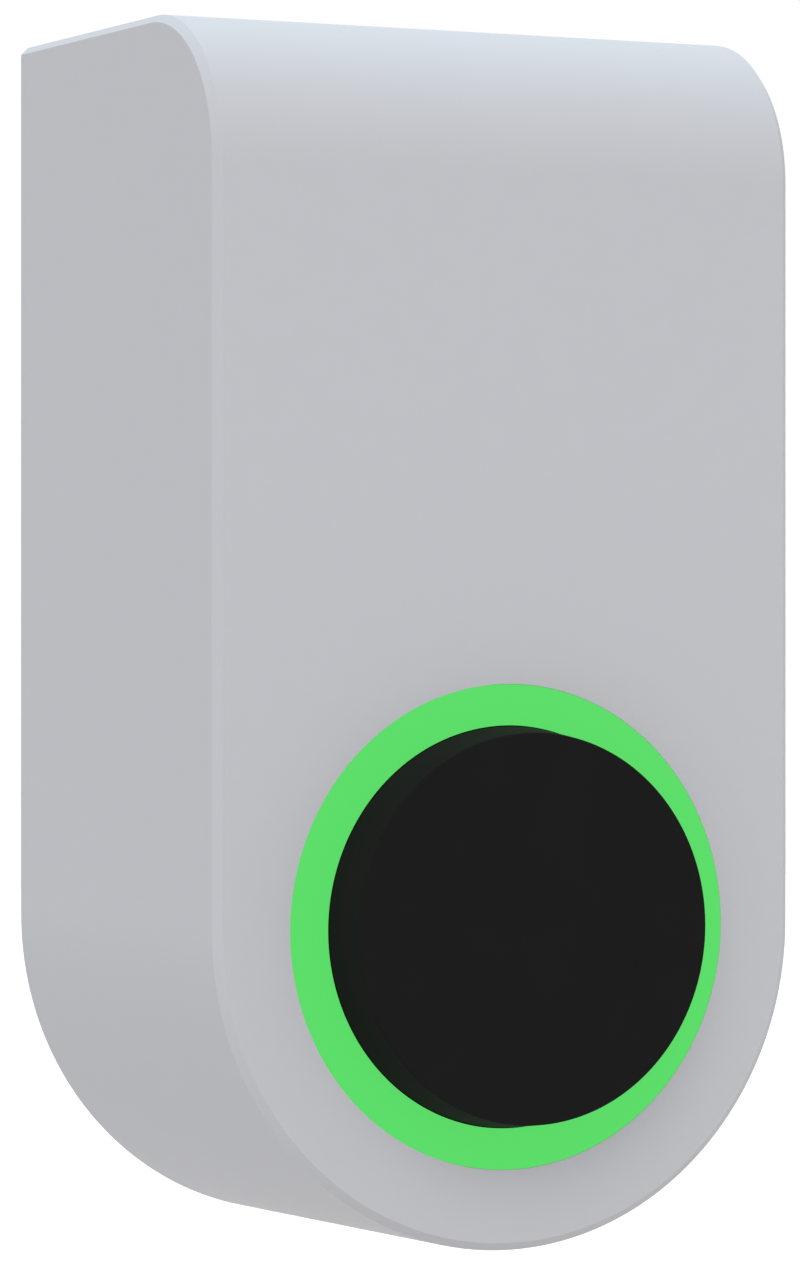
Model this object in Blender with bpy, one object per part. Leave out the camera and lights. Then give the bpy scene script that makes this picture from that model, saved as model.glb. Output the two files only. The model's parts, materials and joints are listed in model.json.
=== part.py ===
"""Wall-mounted electric vehicle charging unit with a lidded round socket and a status light ring.

Frame: +Z up, -Y out of the wall, +X to the right of someone facing the unit.
The origin is the centre of the face that lies on the wall.
All pieces hang on one empty, turned so that its own axes are X right, Y up, Z out of the wall;
sizes below are millimetres in those axes.
"""

import math

import bmesh
import bpy
from mathutils import Vector
from mathutils.geometry import tessellate_polygon

MM = 0.001

# ---- driving dimensions (mm) ----
WIDTH, HEIGHT, DEPTH = 192.0, 366.0, 145.0      # casing, with DEPTH from the wall to the front face
HALF = WIDTH / 2
TOP = HEIGHT / 2
CY = -TOP + HALF                                # centre of the round lower end, and of ring, lid and socket
TOP_R = 46.0                                    # round between the front and the top
EDGE_C = 2.3                                    # chamfer along the front and top edges
WALL = 3.0
BACK_GAP = 0.4                                  # casing edge to wall

RING_OUT, RING_IN, RING_PROUD = 71.65, 59.75, 0.1
LID_R, LID_FRONT_R, LID_RISE = 59.45, 57.7, 16.0
LID_FRONT = DEPTH + LID_RISE
HINGE_X, HINGE_Z, HINGE_R = 55.6, 151.5, 3.2    # lid hinge: a barrel at the right edge, its axis vertical
LID_OPEN_DEG = 110.0

SOCKET_R = 35.7
INSERT_R, INSERT_FLAT = 26.3, 19.6
GROOVE_R, GROOVE_FLAT = 32.0, 25.5
SOCKET_FACE, FLOOR_OF_SOCKET = 137.7, 103.0
# contact name: x, y from the socket's centre, and True for a power contact
CONTACTS = {
    "contact_l1": (-17.0, 0.0, True), "contact_l2": (-8.9, -14.8, True), "contact_l3": (8.9, -14.8, True),
    "contact_n": (17.0, 0.0, True), "contact_pe": (0.0, 0.0, True),
    "contact_cp": (-8.5, 13.2, False), "contact_pp": (8.5, 13.2, False),
}
LOCK_Z, LOCK_TRAVEL = 114.0, 4.8

RAIL_Y = 60.0
RCD_X, RCD_W = -40.0, 72.0
CONTACTOR_X, CONTACTOR_W = 25.0, 54.0
SUPPLY_X, SUPPLY_W = 63.0, 18.0
RCD_POLES = (-67.0, -49.0, -31.0, -13.0)
CONTACTOR_POLES = (6.0, 18.7, 31.3, 44.0)
POLE_Z, WIRE_R = 30.0, 2.2
TERMINAL_POLES = (-24.0, -12.0, 0.0, 12.0, 24.0)
TOGGLE_Z, TOGGLE_UP_DEG = 62.0, 30.0
CABLE_Y = -112.0                                # supply cable entry through the back

for old in list(bpy.data.objects):
    bpy.data.objects.remove(old, do_unlink=True)

unit = bpy.data.objects.new("wall_unit_axes", None)
bpy.context.scene.collection.objects.link(unit)
unit.rotation_euler = (math.radians(90), 0, 0)


# ---- materials ----
def material(name, colour, roughness, metallic=0.0, **more):
    made = bpy.data.materials.new(name)
    made.use_nodes = True
    shader = made.node_tree.nodes["Principled BSDF"]
    shader.inputs["Base Color"].default_value = (*colour, 1)
    shader.inputs["Roughness"].default_value = roughness
    shader.inputs["Metallic"].default_value = metallic
    for key, value in more.items():
        shader.inputs[key.replace("_", " ")].default_value = value
    return made


CASING = material("casing_light_grey", (0.62, 0.63, 0.65), 0.45)
TRAY = material("tray_dark_grey", (0.10, 0.105, 0.11), 0.55)
BLACK = material("black_plastic", (0.012, 0.012, 0.013), 0.42)
LAMP = material("light_ring_green", (0.11, 0.72, 0.14), 0.35)
RUBBER = material("rubber_black", (0.02, 0.02, 0.02), 0.8)
STEEL = material("zinc_plated_steel", (0.62, 0.63, 0.64), 0.35, 1.0)
STAINLESS = material("stainless_steel", (0.55, 0.55, 0.56), 0.28, 1.0)
SILVER = material("silvered_brass", (0.75, 0.70, 0.58), 0.25, 1.0)
BOARD = material("circuit_board_green", (0.02, 0.16, 0.07), 0.4)
BOARD_WHITE = material("circuit_board_white", (0.75, 0.75, 0.73), 0.4)
DEVICE = material("device_grey", (0.55, 0.56, 0.57), 0.5)
TOGGLE = material("toggle_blue", (0.02, 0.10, 0.35), 0.4)
BUTTON = material("button_white", (0.8, 0.8, 0.78), 0.4)
FERRITE = material("sensor_core_grey", (0.06, 0.06, 0.065), 0.6)
BAR = material("busbar_cover_grey", (0.40, 0.41, 0.42), 0.5)
WIRE_BROWN = material("wire_brown", (0.13, 0.045, 0.015), 0.5)
WIRE_BLACK = material("wire_black", (0.015, 0.015, 0.016), 0.5)
WIRE_GREY = material("wire_grey", (0.28, 0.28, 0.29), 0.5)
WIRE_BLUE = material("wire_blue", (0.01, 0.08, 0.42), 0.5)
WIRE_EARTH = material("wire_green_yellow", (0.25, 0.50, 0.03), 0.5)


# ---- outlines ----
def circle(cx, cy, r, n, start=0.0):
    return [(cx + r * math.cos(start + 2 * math.pi * i / n), cy + r * math.sin(start + 2 * math.pi * i / n)) for i in range(n)]


def rectangle(cx, cy, w, h, r=0.0, n=3):
    if r <= 0:
        return [(cx + sx * w / 2, cy + sy * h / 2) for sx, sy in ((1, 1), (-1, 1), (-1, -1), (1, -1))]
    points = []
    for k, (sx, sy) in enumerate(((1, 1), (-1, 1), (-1, -1), (1, -1))):
        for i in range(n + 1):
            a = math.pi / 2 * (k + i / n)
            points.append((cx + sx * (w / 2 - r) + r * math.cos(a), cy + sy * (h / 2 - r) + r * math.sin(a)))
    return points


def d_outline(r, flat, n, cy=0.0):
    """A circle with a flat cut across its top."""
    a0 = math.asin(flat / r)
    sweep = 2 * math.pi - (math.pi - 2 * a0)
    start = math.pi - a0
    return [(r * math.cos(start + sweep * i / n), cy + r * math.sin(start + sweep * i / n)) for i in range(n + 1)]


def u_outline(inset, corner=4.5, n_arc=40, n_corner=3):
    """The casing's front outline moved in by inset: square shoulders, a half-round lower end."""
    half, top = HALF - inset, TOP - inset
    r = max(corner - inset, 1.0)
    points = []
    for k in (0, 1):
        sx = 1 if k == 0 else -1
        for i in range(n_corner + 1):
            a = math.pi / 2 * (k + i / n_corner)
            points.append((sx * (half - r) + r * math.cos(a), top - r + r * math.sin(a)))
    for i in range(n_arc + 1):
        a = math.pi + math.pi * i / n_arc
        points.append((half * math.cos(a), CY + half * math.sin(a)))
    return points


# ---- meshes ----
def build(name, points, faces, mat, origin=(0, 0, 0), turn=(0, 0, 0), parent=unit, smooth=35):
    mesh = bpy.data.meshes.new(name)
    mesh.from_pydata([(Vector(p) * MM) for p in points], [], faces)
    bm = bmesh.new()
    bm.from_mesh(mesh)
    bmesh.ops.remove_doubles(bm, verts=bm.verts, dist=1e-7)
    bmesh.ops.recalc_face_normals(bm, faces=bm.faces)
    bm.to_mesh(mesh)
    bm.free()
    mesh.materials.append(mat)
    mesh.shade_smooth()
    mesh.set_sharp_from_angle(angle=math.radians(smooth))
    made = bpy.data.objects.new(name, mesh)
    bpy.context.scene.collection.objects.link(made)
    made.parent = parent
    made.location = Vector(origin) * MM
    made.rotation_euler = turn
    return made


def prism(name, outer, z0, z1, mat, holes=(), **more):
    """An outline with holes, extruded along Z."""
    loops = [list(outer), *[list(h) for h in holes]]
    flat = [p for loop in loops for p in loop]
    n = len(flat)
    points = [(x, y, z0) for x, y in flat] + [(x, y, z1) for x, y in flat]
    caps = tessellate_polygon([[Vector((x, y, 0)) for x, y in loop] for loop in loops])
    faces = [tuple(t) for t in caps] + [tuple(i + n for i in reversed(t)) for t in caps]
    start = 0
    for loop in loops:
        m = len(loop)
        faces += [(start + i, start + (i + 1) % m, start + (i + 1) % m + n, start + i + n) for i in range(m)]
        start += m
    return build(name, points, faces, mat, **more)


def side_prism(name, outline_yz, x0, x1, mat, **more):
    """An outline in Y and Z, extruded along X."""
    n = len(outline_yz)
    points = [(x0, y, z) for y, z in outline_yz] + [(x1, y, z) for y, z in outline_yz]
    caps = tessellate_polygon([[Vector((y, z, 0)) for y, z in outline_yz]])
    faces = [tuple(t) for t in caps] + [tuple(i + n for i in reversed(t)) for t in caps]
    faces += [(i, (i + 1) % n, (i + 1) % n + n, i + n) for i in range(n)]
    return build(name, points, faces, mat, **more)


def block(name, x0, x1, y0, y1, z0, z1, mat=BLACK, **more):
    return prism(name, [(x0, y0), (x1, y0), (x1, y1), (x0, y1)], z0, z1, mat, **more)


def lathe(name, profile, n, mat, **more):
    """A profile of (radius, z) turned about Z. A profile that starts and ends on the axis is closed by it; any other is a ring."""
    points, rows = [], []
    for r, z in profile:
        if r == 0:
            rows.append([len(points)] * n)
            points.append((0, 0, z))
        else:
            rows.append(list(range(len(points), len(points) + n)))
            points += [(r * math.cos(2 * math.pi * i / n), r * math.sin(2 * math.pi * i / n), z) for i in range(n)]
    ring = all(r > 0 for r, _ in profile)
    faces = []
    for k in range(len(rows) if ring else len(rows) - 1):
        a, b = rows[k], rows[(k + 1) % len(rows)]
        for i in range(n):
            j = (i + 1) % n
            corners = [a[i], a[j], b[j], b[i]]
            corners = [c for m, c in enumerate(corners) if c not in corners[:m]]
            if len(corners) > 2:
                faces.append(tuple(corners))
    return build(name, points, faces, mat, **more)


def loft(name, loops, mat, ring=False, **more):
    """Loops of 3D points with equal counts, joined in turn; capped at the ends unless it is a ring."""
    n = len(loops[0])
    points = [p for loop in loops for p in loop]
    faces = []
    for k in range(len(loops) if ring else len(loops) - 1):
        a, b = k * n, ((k + 1) % len(loops)) * n
        faces += [(a + i, a + (i + 1) % n, b + (i + 1) % n, b + i) for i in range(n)]
    if not ring:
        faces += [tuple(range(n)), tuple(reversed(range((len(loops) - 1) * n, len(loops) * n)))]
    return build(name, points, faces, mat, **more)


def boolean(target, other, operation):
    other.hide_render = True
    other.display_type = "WIRE"
    modifier = target.modifiers.new(f"{operation.lower()}_{other.name}"[:60], "BOOLEAN")
    modifier.operation = operation
    modifier.solver = "EXACT"
    modifier.object = other
    return target


def cut(target, *others):
    for other in others:
        boolean(target, other, "DIFFERENCE")
    return target


def join(target, *others):
    for other in others:
        boolean(target, other, "UNION")
    return target


def together(name, objects):
    """Several separate helper shapes as one helper, so that one Boolean handles them all."""
    bm = bmesh.new()
    bpy.context.view_layer.update()
    for each in objects:
        copy = each.data.copy()
        copy.transform(unit.matrix_world.inverted() @ each.matrix_world)
        bm.from_mesh(copy)
        bpy.data.objects.remove(each, do_unlink=True)
    mesh = bpy.data.meshes.new(name)
    bm.to_mesh(mesh)
    bm.free()
    made = bpy.data.objects.new(name, mesh)
    bpy.context.scene.collection.objects.link(made)
    made.parent = unit
    return made


def rod(name, centre, axis, length, r, n=16, mat=BLACK, **more):
    """A round bar from centre along x, y or z."""
    turn = {"x": (0, math.radians(90), 0), "y": (math.radians(-90), 0, 0), "z": (0, 0, 0)}[axis]
    return lathe(name, [(0, 0), (r, 0), (r, length), (0, length)], n, mat, origin=centre, turn=turn, **more)


def screw(name, x, y, z_head, length, r, head_r, head_h, mat=STEEL):
    """A pan head screw with a round drive recess, its shank from under the head at z_head; a negative length runs towards the wall."""
    d = math.copysign(1, length)
    profile = [(0, -head_h * 0.35), (head_r * 0.42, -head_h * 0.35), (head_r * 0.42, -head_h), (head_r * 0.75, -head_h),
               (head_r, -head_h * 0.55), (head_r, 0), (r, 0), (r, abs(length) - r), (0, abs(length))]
    return lathe(name, [(a, b * d) for a, b in profile], 10, mat, origin=(x, y, z_head))


def smooth_path(points, per_span=6):
    """Points along a Catmull-Rom curve through the given ones."""
    p = [Vector(points[0]) * 2 - Vector(points[1]), *map(Vector, points), Vector(points[-1]) * 2 - Vector(points[-2])]
    out = []
    for i in range(1, len(p) - 2):
        for k in range(per_span):
            t = k / per_span
            a, b, c, d = p[i - 1], p[i], p[i + 1], p[i + 2]
            out.append(0.5 * ((2 * b) + (c - a) * t + (2 * a - 5 * b + 4 * c - d) * t * t + (3 * b - a - 3 * c + d) * t ** 3))
    return [*out, p[-2]]


def wire(name, points, r, mat, per_span=4, sides=1):
    curve = bpy.data.curves.new(name, "CURVE")
    curve.dimensions = "3D"
    curve.bevel_depth = r * MM
    curve.bevel_resolution = sides
    curve.use_fill_caps = True
    path = smooth_path(points, per_span)
    spline = curve.splines.new("POLY")
    spline.points.add(len(path) - 1)
    for point, at in zip(spline.points, path):
        point.co = (*(at * MM), 1)
    curve.materials.append(mat)
    made = bpy.data.objects.new(name, curve)
    bpy.context.scene.collection.objects.link(made)
    made.parent = unit
    return made


# ---- front cover: one deep moulded shell, open at the wall ----
def casing_surface(inset, chamfer, z_back):
    """Points and faces of the casing's outer form moved in by inset, without its back; the back loop and the front loop by index."""
    hw, top, front, r = HALF - inset, TOP - inset, DEPTH - inset, TOP_R - inset
    n_fillet, n_arc = 12, 40
    yc, zc = top - r, front - r
    side, face = [(-hw, top - chamfer, z_back)], [(-hw + chamfer, top, z_back)]
    for i in range(n_fillet + 1):
        a = math.pi / 2 * i / n_fillet
        side.append((-hw, yc + (r - chamfer) * math.cos(a), zc + (r - chamfer) * math.sin(a)))
        face.append((-hw + chamfer, yc + r * math.cos(a), zc + r * math.sin(a)))
    for i in range(n_arc + 1):
        a = math.pi + math.pi * i / n_arc
        side.append((hw * math.cos(a), CY + hw * math.sin(a), front - chamfer))
        face.append(((hw - chamfer) * math.cos(a), CY + (hw - chamfer) * math.sin(a), front))
    for i in range(n_fillet, -1, -1):
        a = math.pi / 2 * i / n_fillet
        side.append((hw, yc + (r - chamfer) * math.cos(a), zc + (r - chamfer) * math.sin(a)))
        face.append((hw - chamfer, yc + r * math.cos(a), zc + r * math.sin(a)))
    side.append((hw, top - chamfer, z_back))
    face.append((hw - chamfer, top, z_back))
    n = len(side)
    points = side + face
    back = {0: 0, 1: 0, n - 1: n - 1, n - 2: n - 1}
    for i in range(2, n - 2):
        back[i] = len(points)
        points.append((side[i][0], side[i][1], z_back))
    faces = [(i, i + 1, n + i + 1, n + i) for i in range(n - 1)]
    for i in range(1, n - 2):
        loop = [back[i], back[i + 1], i + 1, i]
        faces.append(tuple(dict.fromkeys(loop)))
    for i in range(n_fillet + 1):
        faces.append((n + i, n + i + 1, 2 * n - 2 - i, 2 * n - 1 - i))
    back_loop = [n, 0, *[back[i] for i in range(2, n - 2)], n - 1, 2 * n - 1]
    front_loop = list(range(n + n_fillet + 1, 2 * n - 1 - n_fillet - 1 + 1))
    front_loop = [i for i in front_loop if abs(points[i][2] - front) < 1e-9]
    return points, faces, back_loop, front_loop


def front_with_hole(points, front_loop, hole):
    z = points[front_loop[0]][2]
    start = len(points)
    points += [(x, y, z) for x, y in hole]
    index = front_loop + list(range(start, start + len(hole)))
    made = tessellate_polygon([[Vector((points[i][0], points[i][1], 0)) for i in front_loop], [Vector((x, y, 0)) for x, y in hole]])
    return [tuple(index[i] for i in t) for t in made], list(range(start, start + len(hole)))


POCKET_R, HOLE_R, POCKET_FLOOR, N_HOLE = RING_OUT + 0.3, 66.4, 143.3, 64
outer_points, outer_faces, outer_back, outer_front = casing_surface(0.0, EDGE_C, BACK_GAP)
faces_front, pocket_rim = front_with_hole(outer_points, outer_front, circle(0, CY, POCKET_R, N_HOLE))
points, faces = outer_points, outer_faces + faces_front
inner_points, inner_faces, inner_back, inner_front = casing_surface(WALL, 1.0, BACK_GAP)
faces_inner, hole_rim = front_with_hole(inner_points, inner_front, circle(0, CY, HOLE_R, N_HOLE))
shift = len(points)
points = points + inner_points
faces += [tuple(i + shift for i in f) for f in inner_faces + faces_inner]
inner_back = [i + shift for i in inner_back]
hole_rim = [i + shift for i in hole_rim]
n = len(outer_back)
faces += [(outer_back[i], outer_back[(i + 1) % n], inner_back[(i + 1) % n], inner_back[i]) for i in range(n)]
floor_out = list(range(len(points), len(points) + N_HOLE))
points += [(x, y, POCKET_FLOOR) for x, y in circle(0, CY, POCKET_R, N_HOLE)]
floor_in = list(range(len(points), len(points) + N_HOLE))
points += [(x, y, POCKET_FLOOR) for x, y in circle(0, CY, HOLE_R, N_HOLE)]
for a, b in ((pocket_rim, floor_out), (floor_out, floor_in), (floor_in, hole_rim)):
    faces += [(a[i], a[(i + 1) % N_HOLE], b[(i + 1) % N_HOLE], b[i]) for i in range(N_HOLE)]
front_cover = build("front_cover", points, faces, CASING)

BEZEL_SCREW_R = 81.0
BEZEL_EARS = [(BEZEL_SCREW_R * math.cos(a), CY + BEZEL_SCREW_R * math.sin(a)) for a in (math.radians(45 + 90 * k) for k in range(4))]
bosses = [rod(f"boss_{k}", (x, y, 135.0), "z", 8.5, 4.6, 12) for k, (x, y) in enumerate(BEZEL_EARS)]
hooks = []
for k, x in enumerate((-52, 52)):
    hooks.append(side_prism(f"hook_{k}", [(181.5, 45.6), (181.5, 48.6), (169.0, 48.6), (169.0, 38.0), (175.4, 38.0), (175.4, 40.6), (171.4, 40.6), (171.4, 45.6)],
                            x - 6, x + 6, BLACK))
bosses += [rod(f"reader_rest_{k}", (sx * 28.3, y, 140.3), "z", 2.5, 2.2, 8) for k, (sx, y) in enumerate((sx, y) for sx in (-1, 1) for y in (38, 62))]
join(front_cover, together("cover_bosses", bosses + hooks))
holes = [rod(f"boss_hole_{k}", (x, y, 133.0), "z", 9.0, 1.9, 8) for k, (x, y) in enumerate(BEZEL_EARS)]
COVER_SCREW_X, COVER_SCREW_Z = 14.0, 18.0
for k, x in enumerate((-COVER_SCREW_X, COVER_SCREW_X)):
    holes.append(lathe(f"countersink_{k}", [(0, -184.5), (4.5, -184.5), (4.5, -181.2), (2.3, -178.9), (2.3, -176), (0, -176)], 12, BLACK,
                       origin=(x, 0, COVER_SCREW_Z), turn=(math.radians(-90), 0, 0)))
cut(front_cover, together("cover_holes", holes))

# ---- rear housing: a tray that carries the electrics, closed off by the cover ----
FLOOR_BACK, FLOOR = 3.2, 6.4
tray_levels = ((3.6, FLOOR_BACK), (3.6, 30.0), (6.4, 30.0), (6.4, 44.0), (9.0, 44.0), (9.0, FLOOR))
rear_housing = loft("rear_housing", [[(x, y, z) for x, y in u_outline(inset)] for inset, z in tray_levels], TRAY)
BOARD_POSTS = [(sx * 82.0, y) for sx in (-1, 1) for y in (30.0, 120.0)]
posts = [rod(f"post_{k}", (x, y, FLOOR - 1.5), "z", 94.0 - FLOOR + 1.5, 4.0, 10) for k, (x, y) in enumerate(BOARD_POSTS)]
posts.append(block("screw_block", -21, 21, -177.0, -161, FLOOR - 1, 26.0))
posts.append(block("sensor_rest", 19, 29, -12.0, -4.0, FLOOR - 1, 30.3))
join(rear_housing, together("tray_posts", posts))
LOCK_SCREW = (0.0, -22.0)
VENT = (-48.0, -120.0)
RAIL_SCREWS = (-78.0, 78.0)
tray_cuts = [rod("entry_hole", (0, CABLE_Y, 1), "z", 8, 16.3, 28), rod("vent_hole", (*VENT, 1), "z", 8, 6.4, 16),
             rod("lock_hole", (*LOCK_SCREW, 1), "z", 8, 2.6, 10)]
for k, x in enumerate((-35.0, 35.0)):
    tray_cuts.append(block(f"hook_slot_{k}", x - 8.5, x + 8.5, 105.0, 116.4, 1, 8))
    tray_cuts.append(block(f"cover_catch_{k}", math.copysign(52, x) - 7, math.copysign(52, x) + 7, 172.5, 175.9, 36.6, 42.0))
for k, x in enumerate((-COVER_SCREW_X, COVER_SCREW_X)):
    tray_cuts.append(rod(f"cover_thread_{k}", (x, -181, COVER_SCREW_Z), "y", 17.5, 1.9, 8))
for k, x in enumerate(RAIL_SCREWS):
    tray_cuts.append(rod(f"rail_thread_{k}", (x, RAIL_Y, 4.6), "z", 4, 1.6, 8))
cut(rear_housing, together("tray_cuts", tray_cuts))

housing_seal = loft("housing_seal", [[(x, y, z) for x, y in u_outline(inset)] for inset, z in ((6.1, 30.3), (3.4, 30.3), (3.4, 33.6), (4.4, 35.6), (6.1, 35.6))],
                    RUBBER, ring=True)

# ---- wall plate, hooks and the screws that hold the shells ----
wall_plate = prism("mounting_plate", rectangle(0, 0, 130, 280, 10, 3), 0.0, 2.0, STEEL,
                   holes=[circle(0, CABLE_Y, 22.0, 24)] + [circle(sx * 52, y, 3.4, 10) for sx in (-1, 1) for y in (122, -100)] + [circle(*LOCK_SCREW, 2.3, 10)]
                   + [circle(*VENT, 8.0, 16)] + [rectangle(sx * 30, y, 24, 46, 5, 2) for sx in (-1, 1) for y in (60, -4, -64)])
tabs = []
for k, x in enumerate((-35.0, 35.0)):
    tabs.append(side_prism(f"tab_{k}", [(111.6, 1.0), (115.8, 1.0), (115.8, 6.8), (122.0, 6.8), (122.0, 8.8), (111.6, 8.8)], x - 7, x + 7, STEEL))
join(wall_plate, together("wall_tabs", tabs))
screw("housing_lock_screw", *LOCK_SCREW, FLOOR + 0.3, -6.0, 1.9, 4.4, 2.6)
for label, x in (("left", -COVER_SCREW_X), ("right", COVER_SCREW_X)):
    lathe(f"cover_screw_{label}", [(0, 1.4), (1.5, 1.4), (1.5, 0), (3.9, 0), (3.9, 0.5), (1.5, 2.9), (1.5, 15.0), (0, 16.2)], 10, STAINLESS,
          origin=(x, -181.5, COVER_SCREW_Z), turn=(math.radians(-90), 0, 0))

lathe("cable_grommet", [(8.0, 0.8), (18.5, 0.8), (19.5, 1.4), (19.5, 2.6), (15.8, 2.9), (15.8, 6.7), (19.5, 7.0), (19.5, 8.6), (16.0, 9.4), (10.4, 13.0), (8.0, 13.0)],
      28, RUBBER, origin=(0, CABLE_Y, 0))
lathe("pressure_vent", [(0, 2.2), (5.9, 2.2), (5.9, 6.7), (9.0, 6.7), (9.0, 9.6), (7.8, 10.8), (0, 10.8)], 16, TRAY, origin=(*VENT, 0))

# ---- status light: diffuser ring in the cover's pocket, lit by a ring of lamps behind it ----
RING_FRONT = DEPTH + RING_PROUD
lathe("light_ring", [(RING_IN, RING_FRONT - 0.3), (RING_IN + 0.3, RING_FRONT), (RING_OUT - 0.3, RING_FRONT), (RING_OUT, RING_FRONT - 0.3), (RING_OUT, 143.6),
                     (66.1, 143.6), (66.1, 138.1), (61.4, 138.1), (61.4, 142.2), (RING_IN, 143.7)], 64, LAMP, origin=(0, CY, 0))


def lamp_board():
    radii, n, z0, z1 = (60.9, 62.0, 65.4, 73.4), 72, 134.9, 136.4
    points = [(r * math.cos(2 * math.pi * i / n), r * math.sin(2 * math.pi * i / n), z) for z in (z0, z1) for r in radii for i in range(n)]
    level = lambda k, side: [(side * len(radii) + k) * n + i for i in range(n)]
    faces = []
    for side in (0, 1):
        for k in range(len(radii) - 1):
            a, b = level(k, side), level(k + 1, side)
            faces += [(a[i], a[(i + 1) % n], b[(i + 1) % n], b[i]) for i in range(n)]
    for k in (0, len(radii) - 1):
        a, b = level(k, 0), level(k, 1)
        faces += [(a[i], a[(i + 1) % n], b[(i + 1) % n], b[i]) for i in range(n)]
    made = build("led_board", points, faces, BOARD_WHITE, origin=(0, CY, 0))
    bm = bmesh.new()
    bm.from_mesh(made.data)
    tops = []
    for face in bm.faces:
        at = face.calc_center_median()
        r, a = math.hypot(at.x, at.y) / MM, math.degrees(math.atan2(at.y, at.x)) % 360
        if 62.2 < r < 65.2 and at.z / MM > 136 and int(a // 5) % 3 == 0:
            tops.append(face)
    lifted = bmesh.ops.extrude_discrete_faces(bm, faces=tops)["faces"]
    for face in lifted:
        for vert in face.verts:
            vert.co.z += 1.2 * MM
    bmesh.ops.recalc_face_normals(bm, faces=bm.faces)
    bm.to_mesh(made.data)
    bm.free()
    return made


lamp_board()

# ---- socket bezel: black bowl round the socket, with the two fixed knuckles of the lid hinge ----
socket_bezel = lathe("socket_bezel", [(36.2, 134.6), (36.2, 138.0), (38.6, 138.0), (41.0, 140.0), (41.0, 150.8), (41.8, 151.6), (43.4, 151.6), (44.2, 150.8),
                                      (44.2, 143.2), (59.3, 143.2), (59.9, 142.6), (59.9, 134.6), (76.0, 134.6), (76.0, 131.0), (58.0, 131.0), (58.0, 134.6)],
                     56, BLACK, origin=(0, CY, 0))
ears = [rod(f"ear_{k}", (x, y, 131.0), "z", 3.6, 5.2, 12) for k, (x, y) in enumerate(BEZEL_EARS)]
ears += [prism(f"ear_web_{k}", [(c[0] * 0.86, CY + (c[1] - CY) * 0.86 + 5), (c[0] * 0.86, CY + (c[1] - CY) * 0.86 - 5), (c[0], c[1] - 4.9), (c[0], c[1] + 4.9)], 131.2, 134.4, BLACK)
         for k, c in enumerate(BEZEL_EARS)]
for each in ears:
    join(socket_bezel, each)


def knuckle(name, y0, y1, z_root, x_left=-2.6, x_right=2.5, mat=BLACK):
    """A hinge knuckle along Y: round at the pin, with a web that runs to z_root."""
    up = z_root > HINGE_Z
    arc = []
    for i in range(9):
        a = math.pi * i / 8
        arc.append((HINGE_R * math.cos(a), HINGE_R * math.sin(a) * (-1 if up else 1)))
    outline = arc + [(x_left if x_left > -HINGE_R else -HINGE_R, z_root - HINGE_Z), (x_right, z_root - HINGE_Z)]
    n = len(outline)
    points = [(HINGE_X + x, y, HINGE_Z + z) for y in (y0, y1) for x, z in outline]
    caps = tessellate_polygon([[Vector((x, z, 0)) for x, z in outline]])
    faces = [tuple(t) for t in caps] + [tuple(i + n for i in reversed(t)) for t in caps]
    faces += [(i, (i + 1) % n, (i + 1) % n + n, i + n) for i in range(n)]
    return build(name, points, faces, mat)


EARS_Y = ((8.5, 12.0), (-12.0, -8.5))
join(socket_bezel, together("bezel_knuckles", [knuckle(f"bezel_knuckle_{k}", CY + a, CY + b, 141.0) for k, (a, b) in enumerate(EARS_Y)]))
bezel_cuts = [rod("bezel_pin_hole", (HINGE_X, CY - 14, HINGE_Z), "y", 28, 1.5, 10)]
bezel_cuts.append(block("drain_notch", -3.5, 3.5, CY - 46, CY - 39.5, 144.6, 155))
bezel_cuts += [rod(f"bezel_hole_{k}", (x, y, 129), "z", 8, 2.2, 8) for k, (x, y) in enumerate(BEZEL_EARS)]
SOCKET_SCREWS = [(sx * 35.0, CY + sy * 35.0) for sx, sy in ((1, 1), (-1, 1), (-1, -1), (1, -1))]
bezel_cuts += [rod(f"socket_thread_{k}", (x, y, 133), "z", 8.6, 1.8, 8) for k, (x, y) in enumerate(SOCKET_SCREWS)]
cut(socket_bezel, together("bezel_cuts", bezel_cuts))
for k, (x, y) in enumerate(BEZEL_EARS):
    screw(f"bezel_screw_{k + 1}", x, y, 130.7, 10.2, 1.6, 3.6, 2.6)

# ---- lid: a shallow cap on a sprung hinge at its right edge ----
lid_axis = bpy.data.objects.new("lid_hinge_axis", None)
bpy.context.scene.collection.objects.link(lid_axis)
lid_axis.parent = unit
lid_axis.location = Vector((HINGE_X, CY, HINGE_Z)) * MM
LID_BASE = DEPTH - 0.4
lid_profile = [(0, LID_FRONT), (LID_FRONT_R - 0.5, LID_FRONT), (LID_FRONT_R, LID_FRONT - 0.5),
               (LID_R, LID_BASE + 0.4), (LID_R - 0.4, LID_BASE), (57.3, LID_BASE), (55.5, 158.4),
               (43.9, 158.4), (43.9, 159.2), (40.1, 159.2), (40.1, 158.4), (0, 158.4)]
socket_lid = lathe("socket_lid", [(r, z - HINGE_Z) for r, z in lid_profile], 64, BLACK, origin=(0, 0, 0), parent=lid_axis)
for vert in socket_lid.data.vertices:
    vert.co.x -= HINGE_X * MM
cut(socket_lid, block("lid_notch", 50.4, 63, CY - 12.7, CY + 12.7, 140, 155.6))
join(socket_lid, together("lid_knuckles", [knuckle(f"lid_knuckle_{k}", CY + a, CY + b, 159.2, -2.4, 1.4) for k, (a, b) in enumerate(((5.2, 8.2), (-8.2, -5.2)))]))
cut(socket_lid, rod("lid_pin_hole", (HINGE_X, CY - 10, HINGE_Z), "y", 20, 1.5, 10))
lid_seal = lathe("lid_seal", [(40.5, 158.85 - HINGE_Z), (43.5, 158.85 - HINGE_Z), (43.5, 154.6 - HINGE_Z), (42.9, 152.0 - HINGE_Z), (42.2, 152.0 - HINGE_Z), (40.5, 155.6 - HINGE_Z)],
                 48, RUBBER, parent=lid_axis)
for vert in lid_seal.data.vertices:
    vert.co.x -= HINGE_X * MM
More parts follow.
